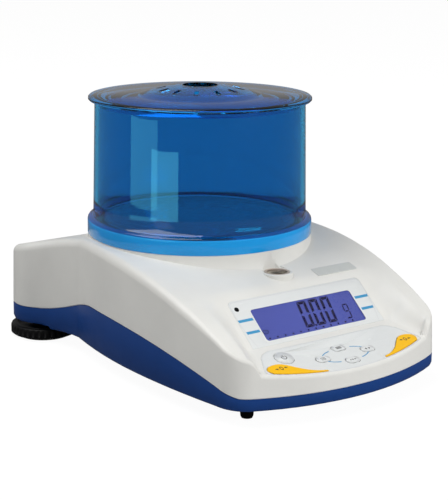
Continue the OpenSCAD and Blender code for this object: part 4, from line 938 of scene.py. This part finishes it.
# Printing on the keypad
OVAL_MID, OVAL_RX, OVAL_RY = keypad_v(-107.7), 16, 6.2
ARC_SPANS, ARC_WIDTH = ((24, 62), (118, 156), (204, 242), (298, 336)), 0.55
KEY_TOP, KEY_INK, KEYPAD_BORDER_IN = 0.4, 0.04, 0.6
POWER_U, POWER_V, POWER_KEY_R, POWER_RING_R = -36.4, keypad_v(-99.5), 4.9, 1.5
TARE_U, TARE_V = 44.6, keypad_v(-107.4)
SMALL_KEY_W, SMALL_KEY_H, SMALL_KEY_R = 8.2, 4.2, 2.05
SMALL_KEYS = {"units": (OVAL_RX, OVAL_MID), "mode": (0, OVAL_MID + OVAL_RY), "print": (-OVAL_RX, OVAL_MID),
              "count": (0, OVAL_MID - OVAL_RY)}


def keypad_printing():
    arcs = []
    for a0, a1 in ARC_SPANS:
        line = [(OVAL_RX * math.cos(math.radians(a0 + (a1 - a0) * i / 10)),
                 OVAL_MID + OVAL_RY * math.sin(math.radians(a0 + (a1 - a0) * i / 10))) for i in range(11)]
        arcs.append(band(line, ARC_WIDTH))
    print_on("keypad_arcs", arcs, on_keypad, "chassis", stripe_ink)
    border = outlined(keypad_outline(-KEYPAD_BORDER_IN), KEYPAD_LINE)
    print_on("keypad_border", [border], on_keypad, "chassis", line_ink)


def key_mark(name, shapes, body, finish=dark_ink):
    print_on(name, shapes, on_keypad, body, finish, KEY_TOP, KEY_TOP + KEY_INK)


def power_mark():
    """An open ring with a bar."""
    ring = [(POWER_U + POWER_RING_R * math.sin(a), POWER_V + POWER_RING_R * math.cos(a))
            for a in map(math.radians, range(35, 330, 15))]
    bar = box_outline(POWER_LINE, POWER_BAR_H, 0, POWER_U, POWER_V + POWER_BAR_UP)
    key_mark("power_mark", [band(ring, POWER_LINE), bar], "power")
    rim = outlined(disc(POWER_KEY_R, POWER_U, POWER_V), POWER_RIM_LINE)
    key_mark("power_rim", [rim], "power", line_ink)


def tare_mark(body, cx, cy):
    """A zero between two arrow heads."""
    shapes = [outlined(ellipse(ZERO_RX, ZERO_RY, cx, cy, 24), ZERO_LINE)]
    for s in (-1, 1):
        tip, root = cx + s * ARROW_TIP, cx + s * ARROW_ROOT
        shapes.append([(tip, cy), (root, cy + ARROW_HALF), (root, cy - ARROW_HALF)][::s])
        shapes.append(box_outline(TAIL_W, TAIL_H, 0, cx + s * TAIL_AT, cy))
    key_mark("tare_mark_" + body, shapes, body)


def small_key_shapes(body, cx, cy):
    """Lines on the mode key, a page on print, dots on count and two arrow heads on units."""
    if body == "mode":
        return [box_outline(MODE_W, MODE_H, 0, cx, cy + d) for d in MODE_LINES]
    if body == "print":
        page = outlined(box_outline(PAGE_W, PAGE_H, 0, cx, cy), PAGE_LINE)
        return [page, box_outline(PAGE_BAR_W, PAGE_BAR_H, 0, cx, cy)]
    if body == "count":
        return [disc(DOT_R, cx + d, cy, 16) for d in DOTS]
    heads = []
    for s in (1, -1):
        root = cx - HEAD_ROOT * s
        heads.append([(cx - HEAD_TIP * s, cy), (root, cy - HEAD_HALF * s), (root, cy + HEAD_HALF * s)])
    return heads


def small_key_marks():
    for body, (cx, cy) in SMALL_KEYS.items():
        key_mark(body + "_mark", small_key_shapes(body, cx, cy), body)
        rim = outlined(box_outline(SMALL_KEY_W, SMALL_KEY_H, SMALL_KEY_R, cx, cy, 8), SMALL_RIM_LINE)
        key_mark(body + "_rim", [rim], body, line_ink)


keypad_printing()
power_mark()
tare_mark("tare_left", -TARE_U, TARE_V)
tare_mark("tare_right", TARE_U, TARE_V)
small_key_marks()

# Bare label plate on the deck, in front of the shield
LABEL_U, LABEL_Y, LABEL_W, LABEL_H, LABEL_R = 37.2, -54.6, 29.6, 7.6, 0.8
LABEL_SUNK, LABEL_TOP, LABEL_INK, LABEL_LINE = -0.3, 0.25, 0.03, (-0.3, -0.55)


def label_plate():
    tilt = math.degrees(math.atan((crown(LABEL_Y + 1) - crown(LABEL_Y - 1)) / 2))
    place = on_slope(tilt, LABEL_Y, crown(LABEL_Y))
    plate = box_outline(LABEL_W, LABEL_H, LABEL_R, LABEL_U, 0)
    made = prism(plate, LABEL_SUNK, LABEL_TOP, place)
    new_piece("label_plate", made, "chassis", label_finish)
    border = tuple(offset(plate, d) for d in LABEL_LINE)
    print_on("label_border", [border], place, "chassis", line_ink,
             LABEL_TOP, LABEL_TOP + LABEL_INK)


label_plate()


# Camera, fitted to the photograph: 448 x 500 pixels
def camera():
    at = Vector((-484.98, -640.72, 262.98)) * MM
    yaw, pitch, roll = 0.628281, 0.225121, 0.005113
    focal, cx, cy, width, height = 1383.84, 200.36, 227.18, 448, 500
    look = Vector((math.sin(yaw) * math.cos(pitch), math.cos(yaw) * math.cos(pitch), -math.sin(pitch)))
    right = Vector((math.cos(yaw), -math.sin(yaw), 0))
    up = right.cross(look)
    c, s = math.cos(roll), math.sin(roll)
    right, up = c * right + s * up, -s * right + c * up
    data = bpy.data.cameras.new("camera")
    data.sensor_width = 36
    data.lens = focal * data.sensor_width / height
    data.shift_x, data.shift_y = (width / 2 - cx) / height, (cy - height / 2) / height
    data.clip_start, data.clip_end = 0.05, 50
    view = in_scene("camera", data)
    view.matrix_world = Matrix.Translation(at) @ Matrix((right, up, -look)).transposed().to_4x4()
    scene.camera = view


camera()

# Light, floor and background
PURE_WHITE = (1, 1, 1)
ROOM_LIGHT, FLOOR_SHADE, FLOOR_SHADE_IN_GLOSS = 0.25, 0.5, 0.08
# What share of the white the floor has where it is seen, and how strong the white is
FLOOR_WHITE_SHARE, FLOOR_WHITE, GLOSSY_WHITE = 0.83, 1.15, 0.1
AIM = (0, 0, 0.05)
SHIELD_PIECES = ("draft_shield.shaded", "shield_lid.shaded")
CARD_COLOUR, CARD_DISTANCE = (0.15, 0.8, 1), 0.265


def softbox(name, at, aim, size, power, colour=PURE_WHITE):
    data = bpy.data.lights.new(name, "AREA")
    data.shape, data.size, data.size_y = "RECTANGLE", size[0], size[1]
    data.energy, data.color = power, colour
    lamp = in_scene(name, data)
    lamp.location = at
    lamp.rotation_euler = (Vector(aim) - Vector(at)).to_track_quat("-Z", "Y").to_euler()
    return lamp


def seen_white(shader, shaded, white, share):
    """Shows a share of plain white in a surface to the camera and clear pieces, and a little to mirrors."""
    seen = shader.ray("Is Camera Ray").math("MAXIMUM", shader.ray("Is Glossy Ray") * GLOSSY_WHITE)
    seen = seen.math("MAXIMUM", shader.ray("Is Transmission Ray"))
    return shader.end(shader.node("ShaderNodeMixShader", {}, [seen * share, shaded, white]))


def room():
    scene.world = bpy.data.worlds.new("studio")
    shader = Shader(scene.world, "ShaderNodeOutputWorld")
    plain = shader.node("ShaderNodeBackground", {}, {"Color": PURE_WHITE, "Strength": ROOM_LIGHT})
    white = shader.node("ShaderNodeBackground", {}, {"Color": PURE_WHITE, "Strength": 1.0})
    seen_white(shader, plain, white, 1.0)


def paper_floor():
    """A round floor of white paper, darker to mirrors so that it lays no veil on dark pieces."""
    mesh = bpy.data.meshes.new("floor")
    mesh.from_pydata([(x, y, 0) for x, y in disc(6, 0, 0, 96)], [], [tuple(range(96))])
    floor = in_scene("floor", mesh)
    shader = new_finish("floor_paper")
    shade_of_paper = shader.ray("Is Glossy Ray") * (FLOOR_SHADE_IN_GLOSS - FLOOR_SHADE) + FLOOR_SHADE
    paper = shader.node("ShaderNodeBsdfDiffuse", {}, {"Color": shade_of_paper})
    glow = shader.node("ShaderNodeEmission", {}, {"Color": PURE_WHITE, "Strength": FLOOR_WHITE})
    mesh.materials.append(seen_white(shader, paper, glow, FLOOR_WHITE_SHARE))


def studio_lamps():
    key = softbox("key", (0.7, -2.0, 0.8), AIM, (1.2, 0.8), 29)
    key.visible_glossy = False
    softbox("left_strip", (-1.5, -0.35, 0.6), (0, 0, 0.1), (0.5, 1.3), 0.9)
    softbox("top", (-0.7, 0.35, 1.95), (0, 0, 0), (1.6, 1.6), 28)


def shield_cards():
    """Two small cards beside the shield, which only its gloss shows."""
    shields = bpy.data.collections.new("shields")
    for name in SHIELD_PIECES:
        shields.objects.link(bpy.data.objects[name])
    for name, turn, z, size, power in (("tall_card", 179, 0.0925, (0.14, 0.065), 0.075),
                                       ("low_card", 201, 0.0675, (0.125, 0.073), 0.12)):
        a = math.radians(turn)
        at = (CARD_DISTANCE * math.cos(a), CARD_DISTANCE * math.sin(a) + PAN_Y * MM, z)
        card = softbox(name, at, (0, PAN_Y * MM, z), size, power, CARD_COLOUR)
        card.visible_camera = card.visible_diffuse = card.visible_transmission = False
        card.light_linking.receiver_collection = shields


room()
paper_floor()
studio_lamps()
shield_cards()
scene.view_settings.view_transform = "Standard"
